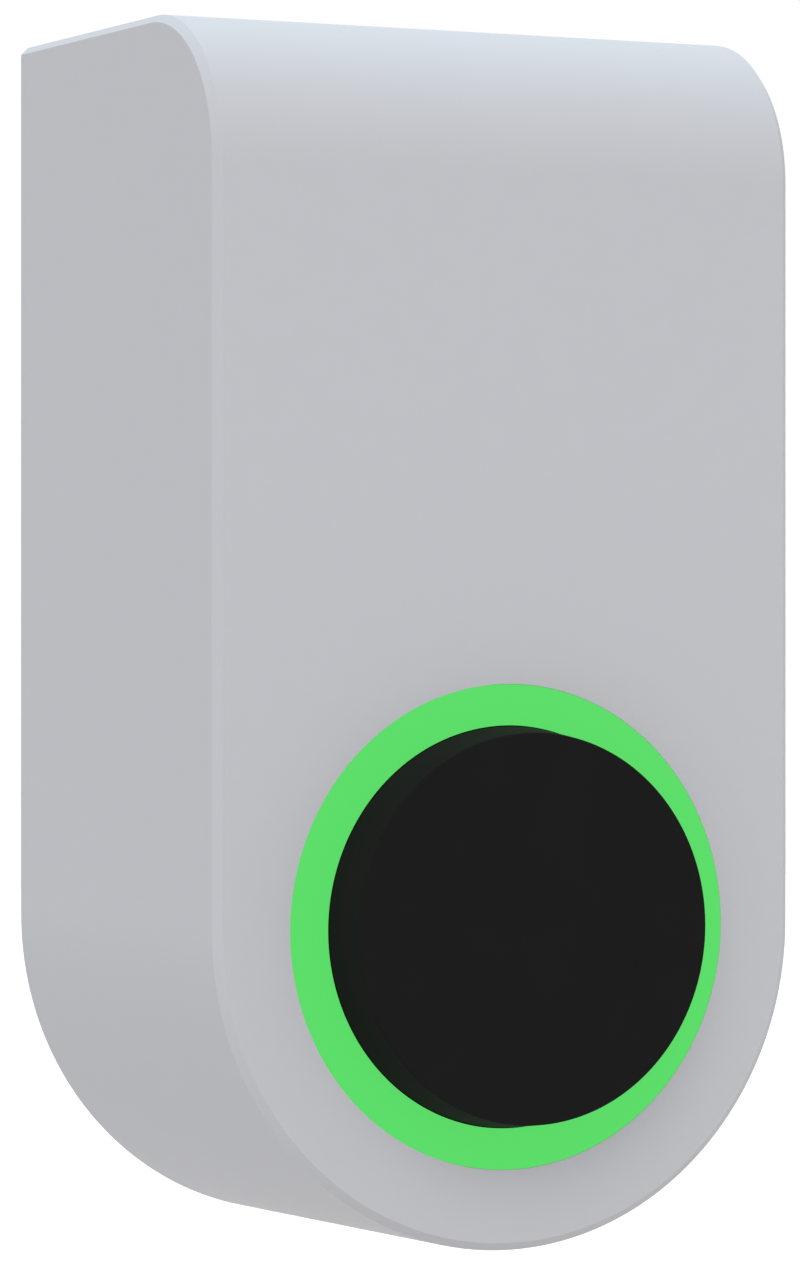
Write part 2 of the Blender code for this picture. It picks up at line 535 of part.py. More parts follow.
lathe("lid_hinge_pin", [(0, -12.2), (0.9, -12.2), (1.2, -11.9), (1.2, 11.9), (0.9, 12.2), (0, 12.2)], 12, STAINLESS,
      origin=(HINGE_X, CY, HINGE_Z), turn=(math.radians(-90), 0, 0))


def lid_spring():
    """A torsion spring round the pin: its lower leg lies on the bezel, its upper leg under the lid."""
    turns, r, path = 5.5, 2.3, []
    path.append((HINGE_X - 11.0, CY - 4.4, 143.2 + 1.2))
    path.append((HINGE_X - 5.0, CY - 4.4, 145.6))
    steps = int(turns * 10)
    for i in range(steps + 1):
        a = math.radians(200) + 2 * math.pi * turns * i / steps
        path.append((HINGE_X + r * math.cos(a), CY - 4.4 + 8.8 * i / steps, HINGE_Z + r * math.sin(a)))
    path.append((HINGE_X - 1.5, CY + 4.4, HINGE_Z + 4.4))
    path.append((HINGE_X - 10.0, CY + 4.4, HINGE_Z + 6.0))
    curve = bpy.data.curves.new("lid_spring", "CURVE")
    curve.dimensions = "3D"
    curve.bevel_depth = 0.42 * MM
    curve.bevel_resolution = 0
    curve.use_fill_caps = True
    spline = curve.splines.new("POLY")
    spline.points.add(len(path) - 1)
    for point, at in zip(spline.points, path):
        point.co = (*(Vector(at) * MM), 1)
    curve.materials.append(STAINLESS)
    made = bpy.data.objects.new("lid_spring", curve)
    bpy.context.scene.collection.objects.link(made)
    made.parent = unit


lid_spring()

# ---- vehicle socket: insulating body, seven contacts, their retainer, gasket, screws and the plug lock ----
socket_body = prism("socket_body", circle(0, CY, SOCKET_R, 48), FLOOR_OF_SOCKET - 5.0, SOCKET_FACE, BLACK)
flange = prism("socket_flange", rectangle(0, CY, 84, 84, 8, 3), 129.4, 133.2, BLACK)
pad = block("lock_pad", -15, 15, CY + 28, CY + 36.2, 101, 127)
join(socket_body, flange, pad)
plug_space = prism("plug_space", d_outline(GROOVE_R, GROOVE_FLAT, 36, CY), FLOOR_OF_SOCKET, 142.0, BLACK)
body_bores = [lathe(f"floor_bore_{name}", [(0, 95), (4.6 if power else 2.9, 95), (4.6 if power else 2.9, 105), (0, 105)], 12, BLACK, origin=(x, CY + y, 0))
              for name, (x, y, power) in CONTACTS.items()]
body_bores.append(rod("lock_bore", (0, CY + 22.6, LOCK_Z), "y", 16, 2.6, 10))
body_bores += [rod(f"flange_hole_{k}", (x, y, 127), "z", 9, 2.1, 8) for k, (x, y) in enumerate(SOCKET_SCREWS)]
cut(socket_body, plug_space, together("body_bores", body_bores))
socket_insert = prism("socket_insert", d_outline(INSERT_R, INSERT_FLAT, 36, CY), FLOOR_OF_SOCKET + 0.3, SOCKET_FACE, BLACK)
insert_bores = []
for name, (x, y, power) in CONTACTS.items():
    r, mouth = (4.6, 3.4) if power else (2.9, 2.0)
    insert_bores.append(lathe(f"bore_{name}", [(0, 95), (r, 95), (r, 134.6), (mouth, 134.6), (mouth, 141), (0, 141)], 12, BLACK, origin=(x, CY + y, 0)))
cut(socket_insert, together("insert_bores", insert_bores))
for name, (x, y, power) in CONTACTS.items():
    if power:
        profile = [(0, 106), (3.05, 106), (3.05, 133.4), (3.5, 134.2), (4.3, 134.2), (4.3, 97.8), (3.4, 97.8), (3.4, 86), (2.6, 86), (2.6, 95), (0, 95)]
    else:
        profile = [(0, 110), (1.6, 110), (1.6, 134.2), (2.6, 134.2), (2.6, 97.8), (2.1, 97.8), (2.1, 86), (1.4, 86), (1.4, 93), (0, 93)]
    lathe(name, profile, 12 if power else 10, SILVER, origin=(x, CY + y, 0))
prism("contact_retainer", circle(0, CY, 33.4, 32), 92.3, 97.4, TRAY,
      holes=[circle(x, CY + y, 3.75 if power else 2.45, 12 if power else 10) for x, y, power in CONTACTS.values()])
prism("socket_gasket", rectangle(0, CY, 83, 83, 7.5, 3), 133.5, 134.3, RUBBER,
      holes=[circle(0, CY, 36.3, 36)] + [circle(x, y, 2.3, 8) for x, y in SOCKET_SCREWS])
for k, (x, y) in enumerate(SOCKET_SCREWS):
    screw(f"socket_screw_{k + 1}", x, y, 129.1, 11.6, 1.5, 3.4, 2.4)
lock_actuator = block("lock_actuator", -17, 17, CY + 36.5, CY + 62, 103, 126, BLACK)
bevel = lock_actuator.modifiers.new("edges", "BEVEL")
bevel.width, bevel.segments, bevel.limit_method = 1.6 * MM, 2, "ANGLE"
cut(lock_actuator, rod("actuator_bore", (0, CY + 33, LOCK_Z), "y", 24.5, 2.6, 10))
lathe("lock_pin", [(0, 0), (1.5, 0), (2.2, 0.8), (2.2, 25.6), (0, 25.6)], 12, STAINLESS, origin=(0, CY + 26.4, LOCK_Z), turn=(math.radians(-90), 0, 0))

# ---- rail with the residual current device, the contactor and the control supply ----
side_prism("din_rail", [(RAIL_Y - 17.5, 14.2), (RAIL_Y - 17.5, 13.2), (RAIL_Y - 13.5, 13.2), (RAIL_Y - 13.5, 6.8), (RAIL_Y + 13.5, 6.8), (RAIL_Y + 13.5, 13.2), (RAIL_Y + 17.5, 13.2),
                        (RAIL_Y + 17.5, 14.2), (RAIL_Y + 12.5, 14.2), (RAIL_Y + 12.5, 7.8), (RAIL_Y - 12.5, 7.8), (RAIL_Y - 12.5, 14.2)], -82.5, 82.5, STEEL)
cut(bpy.data.objects["din_rail"], together("rail_holes", [rod(f"rail_hole_{k}", (x, RAIL_Y, 5), "z", 5, 2.2, 8) for k, x in enumerate(RAIL_SCREWS)]))
for label, x in (("left", RAIL_SCREWS[0]), ("right", RAIL_SCREWS[1])):
    screw(f"din_rail_screw_{label}", x, RAIL_Y, 8.1, -3.2, 1.3, 3.6, 2.0)


def device(name, x, width, front, shoulder, mat):
    """A rail-mounted device: shoulders for the terminals, a raised middle, a slot in its back for the rail."""
    y = RAIL_Y
    outline = [(y - 42.5, 9), (y - 18.1, 9), (y - 18.1, 14.6), (y + 18.1, 14.6), (y + 18.1, 9), (y + 42.5, 9), (y + 42.5, shoulder), (y + 24, shoulder), (y + 22, shoulder + 2),
               (y + 22, front), (y - 22, front), (y - 22, shoulder + 2), (y - 24, shoulder), (y - 42.5, shoulder)]
    return side_prism(name, outline, x - width / 2 + 0.2, x + width / 2 - 0.2, mat)


rcd_body = device("rcd_body", RCD_X, RCD_W, 72.0, 52.0, DEVICE)
TOGGLE_X, BUTTON_X = -31.0, -62.0
rcd_cuts = [block("toggle_slot", TOGGLE_X - 9.3, TOGGLE_X + 9.3, RAIL_Y - 13.2, RAIL_Y + 13.2, 50, 80),
            block("button_well", BUTTON_X - 4.6, BUTTON_X + 4.6, RAIL_Y - 4.6, RAIL_Y + 4.6, 63, 80)]
for k, x in enumerate(RCD_POLES):
    rcd_cuts += [rod(f"rcd_in_{k}", (x, RAIL_Y - 45, POLE_Z), "y", 12, 3.1, 8), rod(f"rcd_out_{k}", (x, RAIL_Y + 33, POLE_Z), "y", 12, 3.1, 8)]
    rcd_cuts += [rod(f"rcd_screw_{s}_{k}", (x, RAIL_Y + s * 33, 49), "z", 8, 3.4, 8) for s in (-1, 1)]
cut(rcd_body, together("rcd_cuts", rcd_cuts))


def rcd_toggle():
    """A rocker hub with a lever that points up when the device is on; its origin is its pivot."""
    n, outline = 24, []
    tilt = math.radians(TOGGLE_UP_DEG)
    half = math.asin(3.6 / 9.0)
    for i in range(n + 1):
        a = tilt + half + (2 * math.pi - 2 * half) * i / n
        outline.append((9.0 * math.sin(a), 9.0 * math.cos(a)))
    tip = 21.0
    for side, reach in ((-1, tip), (-0.6, tip + 1.2), (0.6, tip + 1.2), (1, tip)):
        s = 3.6 * side * (0.86 if reach > tip else 1)
        outline.append((reach * math.sin(tilt) + s * math.cos(tilt), reach * math.cos(tilt) - s * math.sin(tilt)))
    return side_prism("rcd_toggle", outline, -8.9, 8.9, TOGGLE, origin=(TOGGLE_X, RAIL_Y, TOGGLE_Z))


rcd_toggle()
button = prism("rcd_test_button", rectangle(0, 0, 8.4, 8.4, 1.2, 2), 0, 8.6, BUTTON, origin=(BUTTON_X, RAIL_Y, 65.4))

contactor_body = device("contactor_body", CONTACTOR_X, CONTACTOR_W, 66.0, 50.0, TRAY)
contactor_cuts = [block("armature_window", CONTACTOR_X - 11.4, CONTACTOR_X + 11.4, RAIL_Y - 6.4, RAIL_Y + 6.4, 54, 70)]
for k, x in enumerate(CONTACTOR_POLES):
    contactor_cuts += [rod(f"con_out_{k}", (x, RAIL_Y - 45, POLE_Z), "y", 12, 3.1, 8), rod(f"con_in_{k}", (x, RAIL_Y + 33, POLE_Z), "y", 12, 3.1, 8)]
    contactor_cuts += [rod(f"con_screw_{s}_{k}", (x, RAIL_Y + s * 33, 47), "z", 8, 3.4, 8) for s in (-1, 1)]
cut(contactor_body, together("contactor_cuts", contactor_cuts))
prism("contactor_armature", rectangle(0, 0, 22, 12, 1.0, 2), 0, 7.6, BLACK, origin=(CONTACTOR_X, RAIL_Y, 59.6))

power_supply = device("power_supply", SUPPLY_X, SUPPLY_W, 66.0, 50.0, DEVICE)
cut(power_supply, together("supply_cuts", [rod(f"sup_screw_{s}_{k}", (SUPPLY_X + k * 4.5, RAIL_Y + s * 33, 47), "z", 8, 2.4, 8) for s in (-1, 1) for k in (-1, 1)]))

# link bar: joins the residual current device's four outlets to the contactor's inlets
link_busbar = block("link_busbar", -72, 49, 107.5, 119.5, 23.5, 36.5, BAR)
teeth = [block(f"tooth_{k}", x - 1.6, x + 1.6, 94.5, 109, POLE_Z - 1.6, POLE_Z + 1.6) for k, x in enumerate(RCD_POLES + CONTACTOR_POLES)]
join(link_busbar, together("busbar_teeth", teeth))

# ---- supply terminals, leakage sensor, control and reader boards ----
TERMINAL_Y, TERMINAL_Z = -62.0, 24.0
terminal_block = side_prism("terminal_block", [(-80, 6.8), (-44, 6.8), (-44, 32), (-48, 36), (-54, 38.5), (-70, 38.5), (-76, 36), (-80, 32)], -31, 31, DEVICE)
terminal_cuts = []
for k, x in enumerate(TERMINAL_POLES):
    terminal_cuts += [rod(f"term_in_{k}", (x, -84, TERMINAL_Z - 4), "y", 14, 3.4, 8), rod(f"term_out_{k}", (x, -56, TERMINAL_Z), "y", 15, 2.9, 8),
                      block(f"term_slot_{k}", x - 2.4, x + 2.4, -66, -58, 34, 42)]
cut(terminal_block, together("terminal_cuts", terminal_cuts))

SENSOR = (24.0, -8.0, 46.0)
lathe("leakage_sensor", [(8.2, -5), (14.4, -5), (15.4, -4), (15.4, 4), (14.4, 5), (8.2, 5)], 24, FERRITE, origin=SENSOR, turn=(math.radians(-90), 0, 0))


def populated(name, outline, z, thick, parts, mat, holes=()):
    """A circuit board with its larger components standing on it."""
    made = prism(name, outline, z, z + thick, mat, holes=holes)
    return join(made, together(f"{name}_parts", [block(f"{name}_part_{k}", x0, x1, y0, y1, z + thick * 0.5, z + thick + h) for k, (x0, x1, y0, y1, h) in enumerate(parts)]))


populated("control_board", rectangle(0, 75, 176, 102, 3, 2), 94.4, 1.6,
          [(-70, -36, 90, 112, 9), (-30, -12, 92, 110, 1.4), (0, 14, 88, 102, 2.0), (22, 62, 94, 116, 14), (-72, -58, 34, 50, 12), (-50, -36, 36, 50, 12), (-20, 10, 30, 40, 8), (20, 50, 30, 40, 8),
           (-10, 24, 56, 76, 3.0), (40, 66, 56, 76, 5)], BOARD, holes=[circle(x, y, 1.7, 8) for x, y in BOARD_POSTS])
populated("rfid_board", rectangle(0, 50, 62, 44, 3, 2), 138.6, 1.4, [(-25, 25, 31, 33.5, 1.2), (-25, 25, 66.5, 69, 1.2), (-6, 6, 44, 56, 1.6)], BOARD)

# ---- wiring: supply terminals to the residual current device, contactor to the socket ----
for label, mat, x0, x1 in (("l1", WIRE_BROWN, TERMINAL_POLES[0], RCD_POLES[0]), ("l2", WIRE_BLACK, TERMINAL_POLES[1], RCD_POLES[1]),
                           ("l3", WIRE_GREY, TERMINAL_POLES[2], RCD_POLES[2]), ("n", WIRE_BLUE, TERMINAL_POLES[3], RCD_POLES[3])):
    wire(f"supply_wire_{label}", [(x0, -54.5, TERMINAL_Z), (x0, -46, TERMINAL_Z), (x0, -38, TERMINAL_Z), (x0 * 0.8 + x1 * 0.2, -26, TERMINAL_Z + 2),
                                  (x0 * 0.25 + x1 * 0.75, -4, POLE_Z), (x1, 9, POLE_Z), (x1, 17, POLE_Z), (x1, 26, POLE_Z)], WIRE_R, mat)
sx, sy, sz = SENSOR
for label, mat, x0, dx, dz, route in (
        ("l1", WIRE_BROWN, CONTACTOR_POLES[0], -3.3, 3.3, ((7.5, 10, 32), (14, 3, 41), (10, -32, 52), (-8, -46, 55), (-17, -62, 58))),
        ("l2", WIRE_BLACK, CONTACTOR_POLES[1], -3.3, -3.3, ((18.9, 10, 31), (20.6, 3, 38), (13, -32, 46), (-1, -46, 50), (-8.9, -62, 53))),
        ("l3", WIRE_GREY, CONTACTOR_POLES[2], 3.3, -3.3, ((31, 10, 31), (28, 3, 38), (21, -32, 46), (12, -46, 50), (8.9, -62, 53))),
        ("n", WIRE_BLUE, CONTACTOR_POLES[3], 3.3, 3.3, ((42.5, 10, 32), (34, 3, 41), (25, -32, 52), (20, -46, 55), (17, -62, 58)))):
    cx, cy, _ = CONTACTS[f"contact_{label}"]
    a, b, *rest = route
    wire(f"socket_wire_{label}", [(x0, 26, POLE_Z), (x0, 18, POLE_Z), a, b, (sx + dx, sy + 5, sz + dz), (sx + dx, sy - 8, sz + dz), *rest,
                                  (cx, CY + cy + 9, 62), (cx, CY + cy + 1.2, 71), (cx, CY + cy, 83), (cx, CY + cy, 93.5)], WIRE_R, mat)
wire("socket_wire_pe", [(TERMINAL_POLES[4], -54.5, TERMINAL_Z), (TERMINAL_POLES[4], -46, TERMINAL_Z), (TERMINAL_POLES[4], -38, 25), (21, -31, 30), (12, -34, 36.5), (3, -46, 42),
                        (0, -60, 47), (0, -76, 54), (0, CY + 1, 67), (0, CY, 80), (0, CY, 93.5)], WIRE_R, WIRE_EARTH)
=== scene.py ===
"""Looks of the wall charging unit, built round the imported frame. Sizes in the piece code are millimetres, in the unit's own axes: X right, Y up, Z out of the wall."""

import json
import math

import bmesh
import bpy
from mathutils import Matrix, Vector
from mathutils.geometry import tessellate_polygon


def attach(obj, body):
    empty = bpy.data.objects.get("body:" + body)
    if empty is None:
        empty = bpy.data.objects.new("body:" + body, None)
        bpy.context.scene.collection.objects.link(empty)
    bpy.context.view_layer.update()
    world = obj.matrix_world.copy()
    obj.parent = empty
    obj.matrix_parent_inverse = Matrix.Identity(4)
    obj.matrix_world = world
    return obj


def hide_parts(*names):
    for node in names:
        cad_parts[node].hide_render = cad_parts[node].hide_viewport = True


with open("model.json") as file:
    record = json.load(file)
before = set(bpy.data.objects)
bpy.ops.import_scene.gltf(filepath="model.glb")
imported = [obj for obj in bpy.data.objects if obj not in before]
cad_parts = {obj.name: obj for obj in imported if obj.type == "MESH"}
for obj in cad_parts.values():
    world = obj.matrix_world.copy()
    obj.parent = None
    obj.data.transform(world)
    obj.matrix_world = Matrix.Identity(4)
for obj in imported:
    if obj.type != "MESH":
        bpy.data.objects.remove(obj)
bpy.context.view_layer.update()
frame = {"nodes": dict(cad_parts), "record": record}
nodes = frame["nodes"]
record = frame["record"]
scene = bpy.context.scene

HALF, TOP, DEPTH = 96.0, 183.0, 145.0
CY = -87.0
TOP_R, EDGE_C, WALL, BACK_GAP = 46.0, 2.3, 3.0, 0.4
HINGE_X, HINGE_Z, HINGE_R = 55.6, 151.5, 3.2
BODY = "casing"

TO_WORLD = Matrix(((1, 0, 0, 0), (0, 0, -1, 0), (0, 1, 0, 0), (0, 0, 0, 1))) @ Matrix.Scale(0.001, 4)


# ---------------------------------------------------------------- materials
def links(tree, a, b):
    tree.links.new(a, b)


def node(tree, kind, **inputs):
    made = tree.nodes.new(kind)
    for key, value in inputs.items():
        if hasattr(made, key) and key not in made.inputs:
            setattr(made, key, value)
        else:
            made.inputs[key.replace("_", " ")].default_value = value
    return made


def mould(name, colour, rough, spread=0.05, grain=2600.0, depth=0.05, height=0.00004, mottle=0.03, metallic=0.0, slow=45.0, brushed=None, **sockets):
    """A moulded, cast or rolled surface: fine grain in bump, slow clouds in roughness and a little in colour."""
    made = bpy.data.materials.new(name)
    made.use_nodes = True
    tree = made.node_tree
    shader = tree.nodes["Principled BSDF"]
    place = node(tree, "ShaderNodeTexCoord")
    where = place.outputs["Object"]
    if brushed:
        mapping = node(tree, "ShaderNodeMapping")
        mapping.inputs["Scale"].default_value = brushed
        links(tree, where, mapping.inputs["Vector"])
        where_fine = mapping.outputs["Vector"]
    else:
        where_fine = where
    fine = node(tree, "ShaderNodeTexNoise", Scale=grain, Detail=3.0, Roughness=0.6)
    links(tree, where_fine, fine.inputs["Vector"])
    cloud = node(tree, "ShaderNodeTexNoise", Scale=slow, Detail=4.0, Roughness=0.55)
    links(tree, where, cloud.inputs["Vector"])
    bump = node(tree, "ShaderNodeBump", Strength=depth, Distance=height)
    links(tree, fine.outputs["Fac"], bump.inputs["Height"])
    links(tree, bump.outputs["Normal"], shader.inputs["Normal"])
    both = node(tree, "ShaderNodeMix", data_type="FLOAT")
    both.inputs[0].default_value = 0.45
    links(tree, cloud.outputs["Fac"], both.inputs[2])
    links(tree, fine.outputs["Fac"], both.inputs[3])
    span = node(tree, "ShaderNodeMapRange")
    span.inputs["From Min"].default_value, span.inputs["From Max"].default_value = 0.3, 0.7
    span.inputs["To Min"].default_value, span.inputs["To Max"].default_value = rough - spread, rough + spread
    links(tree, both.outputs[0], span.inputs["Value"])
    links(tree, span.outputs["Result"], shader.inputs["Roughness"])
    ramp = node(tree, "ShaderNodeValToRGB")
    ramp.color_ramp.elements[0].position, ramp.color_ramp.elements[1].position = 0.3, 0.7
    ramp.color_ramp.elements[0].color = (*(c * (1 - mottle) for c in colour), 1)
    ramp.color_ramp.elements[1].color = (*(min(1.0, c * (1 + mottle)) for c in colour), 1)
    links(tree, both.outputs[0], ramp.inputs["Fac"])
    links(tree, ramp.outputs["Color"], shader.inputs["Base Color"])
    shader.inputs["Metallic"].default_value = metallic
    for key, value in sockets.items():
        shader.inputs[key.replace("_", " ")].default_value = value
    return made


CASING = mould("casing_matte", (0.3262, 0.3312, 0.3484), 0.60, 0.04, grain=1500.0, depth=0.12, height=0.00005, mottle=0.008, slow=90.0, Specular_IOR_Level=0.25)
TRAY = mould("tray_matte", (0.075, 0.078, 0.082), 0.58, 0.06, grain=1800.0, depth=0.25, mottle=0.06)
BLACK = mould("black_matte", (0.0072, 0.0072, 0.0072), 0.60, 0.05, grain=2200.0, depth=0.12, height=0.00003, mottle=0.08, Specular_IOR_Level=0.005, Sheen_Weight=0.016, Sheen_Roughness=0.5)
INSERT = mould("socket_black", (0.014, 0.014, 0.015), 0.42, 0.05, grain=2400.0, depth=0.14, mottle=0.08)
RUBBER = mould("rubber_matte", (0.021, 0.021, 0.022), 0.78, 0.07, grain=1300.0, depth=0.35, mottle=0.15, slow=80.0, Specular_IOR_Level=0.3)
STEEL = mould("zinc_steel", (0.60, 0.62, 0.64), 0.34, 0.10, grain=900.0, depth=0.05, mottle=0.10, metallic=1.0, slow=110.0)
STAINLESS = mould("stainless", (0.56, 0.56, 0.57), 0.27, 0.06, grain=3000.0, depth=0.05, mottle=0.05, metallic=1.0, brushed=(1.0, 1.0, 0.05))
SILVER = mould("silvered_contact", (0.80, 0.76, 0.66), 0.24, 0.06, grain=2600.0, depth=0.05, mottle=0.06, metallic=1.0)
BOARD = mould("board_green", (0.012, 0.13, 0.055), 0.36, 0.06, grain=1700.0, depth=0.10, mottle=0.10, slow=160.0)
BOARD_WHITE = mould("board_white", (0.76, 0.76, 0.74), 0.42, 0.05, grain=1700.0, depth=0.08, mottle=0.03)
DEVICE = mould("device_matte", (0.47, 0.48, 0.49), 0.52, 0.05, grain=2100.0, depth=0.18, mottle=0.03)
TOGGLE = mould("toggle_blue", (0.012, 0.075, 0.30), 0.40, 0.05, grain=2300.0, depth=0.10, mottle=0.05)
BUTTON = mould("button_white", (0.75, 0.75, 0.73), 0.40, 0.05, grain=2300.0, depth=0.10, mottle=0.03)
CORE = mould("potted_core", (0.05, 0.05, 0.055), 0.55, 0.10, grain=900.0, depth=0.35, mottle=0.15)
BAR = mould("busbar_cover", (0.33, 0.34, 0.35), 0.50, 0.05, grain=2000.0, depth=0.15, mottle=0.04)
WIRE_BROWN = mould("wire_brown", (0.12, 0.040, 0.014), 0.46, 0.06, grain=1600.0, depth=0.10, mottle=0.06)
WIRE_BLACK = mould("wire_black", (0.016, 0.016, 0.017), 0.46, 0.06, grain=1600.0, depth=0.10, mottle=0.08)
WIRE_GREY = mould("wire_grey", (0.25, 0.25, 0.26), 0.46, 0.06, grain=1600.0, depth=0.10, mottle=0.05)
WIRE_BLUE = mould("wire_blue", (0.010, 0.070, 0.38), 0.46, 0.06, grain=1600.0, depth=0.10, mottle=0.06)


def striped(name, first, second, turns):
    """Insulation in two colours that wind round the wire."""
    made = mould(name, first, 0.46, 0.06, grain=1600.0, depth=0.10)
    tree = made.node_tree
    shader = tree.nodes["Principled BSDF"]
    wave = node(tree, "ShaderNodeTexWave", Scale=turns)
    wave.bands_direction = "DIAGONAL"
    place = node(tree, "ShaderNodeTexCoord")
    links(tree, place.outputs["Object"], wave.inputs["Vector"])
    ramp = node(tree, "ShaderNodeValToRGB")
    ramp.color_ramp.interpolation = "CONSTANT"
    ramp.color_ramp.elements[0].color = (*first, 1)
    ramp.color_ramp.elements[1].position = 0.55
    ramp.color_ramp.elements[1].color = (*second, 1)
    links(tree, wave.outputs["Fac"], ramp.inputs["Fac"])
    links(tree, ramp.outputs["Color"], shader.inputs["Base Color"])
    return made


WIRE_EARTH = striped("wire_green_yellow", (0.02, 0.24, 0.03), (0.62, 0.52, 0.02), 60.0)

LAMP = mould("ring_diffuser", (0.008, 0.043, 0.011), 0.45, 0.05, grain=1500.0, depth=0.10, height=0.00003, mottle=0.04, Specular_IOR_Level=0.02,
             Emission_Color=(0.0977, 0.6694, 0.1264, 1), Emission_Strength=1.0)


# ---------------------------------------------------------------- shape helpers
def rounded(points, radius, n=5, closed=False):
    """The polyline with each corner turned into an arc. radius is one number, or one for each corner."""
    out, count = [], len(points)
    for i, p in enumerate(points):
        r = radius[i] if isinstance(radius, (list, tuple)) else radius
        if r <= 0 or (not closed and i in (0, count - 1)):
            out.append(tuple(p))
            continue
        p = Vector(p)
        a, b = Vector(points[i - 1]) - p, Vector(points[(i + 1) % count]) - p
        la, lb = a.length, b.length
        if la < 1e-9 or lb < 1e-9:
            out.append(tuple(p))
            continue
        a, b = a / la, b / lb
        angle = math.acos(max(-1.0, min(1.0, a.dot(b))))
        if angle > math.pi - 0.02:
            out.append(tuple(p))
            continue
        reach = min(r / math.tan(angle / 2), la * 0.48, lb * 0.48)
        r = reach * math.tan(angle / 2)
        middle = p + (a + b).normalized() * (r / math.sin(angle / 2))
        start, end = p + a * reach - middle, p + b * reach - middle
        sweep = math.atan2(start.x * end.y - start.y * end.x, start.dot(end))
        for k in range(n + 1):
            t = sweep * k / n
            out.append((middle.x + start.x * math.cos(t) - start.y * math.sin(t), middle.y + start.x * math.sin(t) + start.y * math.cos(t)))
    return out


def circle(cx, cy, r, n, start=0.0):
    return [(cx + r * math.cos(start + 2 * math.pi * i / n), cy + r * math.sin(start + 2 * math.pi * i / n)) for i in range(n)]


def rectangle(cx, cy, w, h, r=0.0, n=6):
    corners = [(cx + sx * w / 2, cy + sy * h / 2) for sx, sy in ((1, 1), (-1, 1), (-1, -1), (1, -1))]
    return rounded(corners, r, n, closed=True) if r > 0 else corners


def mesh_of(points, faces, turn=None):
    mesh = bpy.data.meshes.new("shape")
    mesh.from_pydata([Vector(p) for p in points], [], [f for f in faces if len(set(f)) > 2])
    bm = bmesh.new()
    bm.from_mesh(mesh)
    bmesh.ops.remove_doubles(bm, verts=bm.verts, dist=1e-4)
    bmesh.ops.recalc_face_normals(bm, faces=bm.faces)
    if turn is not None:
        bmesh.ops.transform(bm, matrix=turn, verts=bm.verts)
    bm.to_mesh(mesh)
    bm.free()
    return mesh


AXES = {"x": Matrix.Rotation(math.radians(90), 4, "Y"), "y": Matrix.Rotation(math.radians(-90), 4, "X"), "z": Matrix.Identity(4)}


def placed(at, axis="z"):
    return Matrix.Translation(Vector(at)) @ AXES[axis]


def lathe(profile, n, at=(0, 0, 0), axis="z", closed=None):
    """A profile of (radius, z) turned about Z, then stood at a point along an axis."""
    points, rows = [], []
    for r, z in profile:
        if r < 1e-6:
            rows.append([len(points)] * n)
            points.append((0, 0, z))
        else:
            rows.append(list(range(len(points), len(points) + n)))
            points += [(r * math.cos(2 * math.pi * i / n), r * math.sin(2 * math.pi * i / n), z) for i in range(n)]
    ring = all(r > 1e-6 for r, _ in profile) if closed is None else closed
    faces = []
    for k in range(len(rows) if ring else len(rows) - 1):
        a, b = rows[k], rows[(k + 1) % len(rows)]
        for i in range(n):
            j = (i + 1) % n
            faces.append(tuple(dict.fromkeys((a[i], a[j], b[j], b[i]))))
    return mesh_of(points, faces, placed(at, axis))


def prism(outer, z0, z1, holes=(), edge=0.0, steps=3):
    """An outline with holes, extruded along Z; its outer and inner rims are eased by edge."""
    def eased(loop, amount):
        if amount == 0:
            return list(loop)
        out = []
        n = len(loop)
        for i, p in enumerate(loop):
            a, b = Vector(loop[i - 1]), Vector(loop[(i + 1) % n])
            d1, d2 = (Vector(p) - a).normalized(), (b - Vector(p)).normalized()
            n1, n2 = Vector((-d1.y, d1.x)), Vector((-d2.y, d2.x))
            m = (n1 + n2)
            m = m.normalized() / max(0.3, m.normalized().dot(n1))
            out.append((p[0] + m.x * amount, p[1] + m.y * amount))
        return out

    def area(loop):
        return sum(loop[i - 1][0] * loop[i][1] - loop[i][0] * loop[i - 1][1] for i in range(len(loop)))

    loops = [list(outer) if area(outer) > 0 else list(reversed(outer))]
    loops += [list(h) if area(h) < 0 else list(reversed(h)) for h in holes]
    levels = []
    if edge > 0:
        for k in range(steps + 1):
            a = math.pi / 2 * k / steps
            levels.append((edge * (1 - math.sin(a)), z0 + edge * (1 - math.cos(a))))
        levels += [(o, z1 - (z - z0)) for o, z in reversed(levels)]
    else:
        levels = [(0, z0), (0, z1)]
    points, faces = [], []
    starts = []
    for off, z in levels:
        starts.append(len(points))
        for loop in loops:
            points += [(x, y, z) for x, y in eased(loop, off)]
    for k in range(len(levels) - 1):
        at = 0
        for loop in loops:
            m = len(loop)
            a, b = starts[k] + at, starts[k + 1] + at
            faces += [(a + i, a + (i + 1) % m, b + (i + 1) % m, b + i) for i in range(m)]
            at += m
    for k in (0, len(levels) - 1):
        flat = []
        for loop in loops:
            flat.append([Vector((x, y, 0)) for x, y in eased(loop, levels[k][0])])
        faces += [tuple(starts[k] + i for i in t) for t in tessellate_polygon(flat)]
    return mesh_of(points, faces)


def side_prism(outline_yz, x0, x1, edge=0.0, steps=3):
    """An outline in Y and Z, extruded along X."""
    mesh = prism(outline_yz, x0, x1, edge=edge, steps=steps)
    mesh.transform(Matrix(((0, 0, 1, 0), (1, 0, 0, 0), (0, 1, 0, 0), (0, 0, 0, 1))))
    return mesh


def block(x0, x1, y0, y1, z0, z1, edge=0.0, corner=0.0, steps=3):
    outline = [(x0, y0), (x1, y0), (x1, y1), (x0, y1)]
    return prism(rounded(outline, corner, 4, closed=True) if corner > 0 else outline, z0, z1, edge=edge, steps=steps)


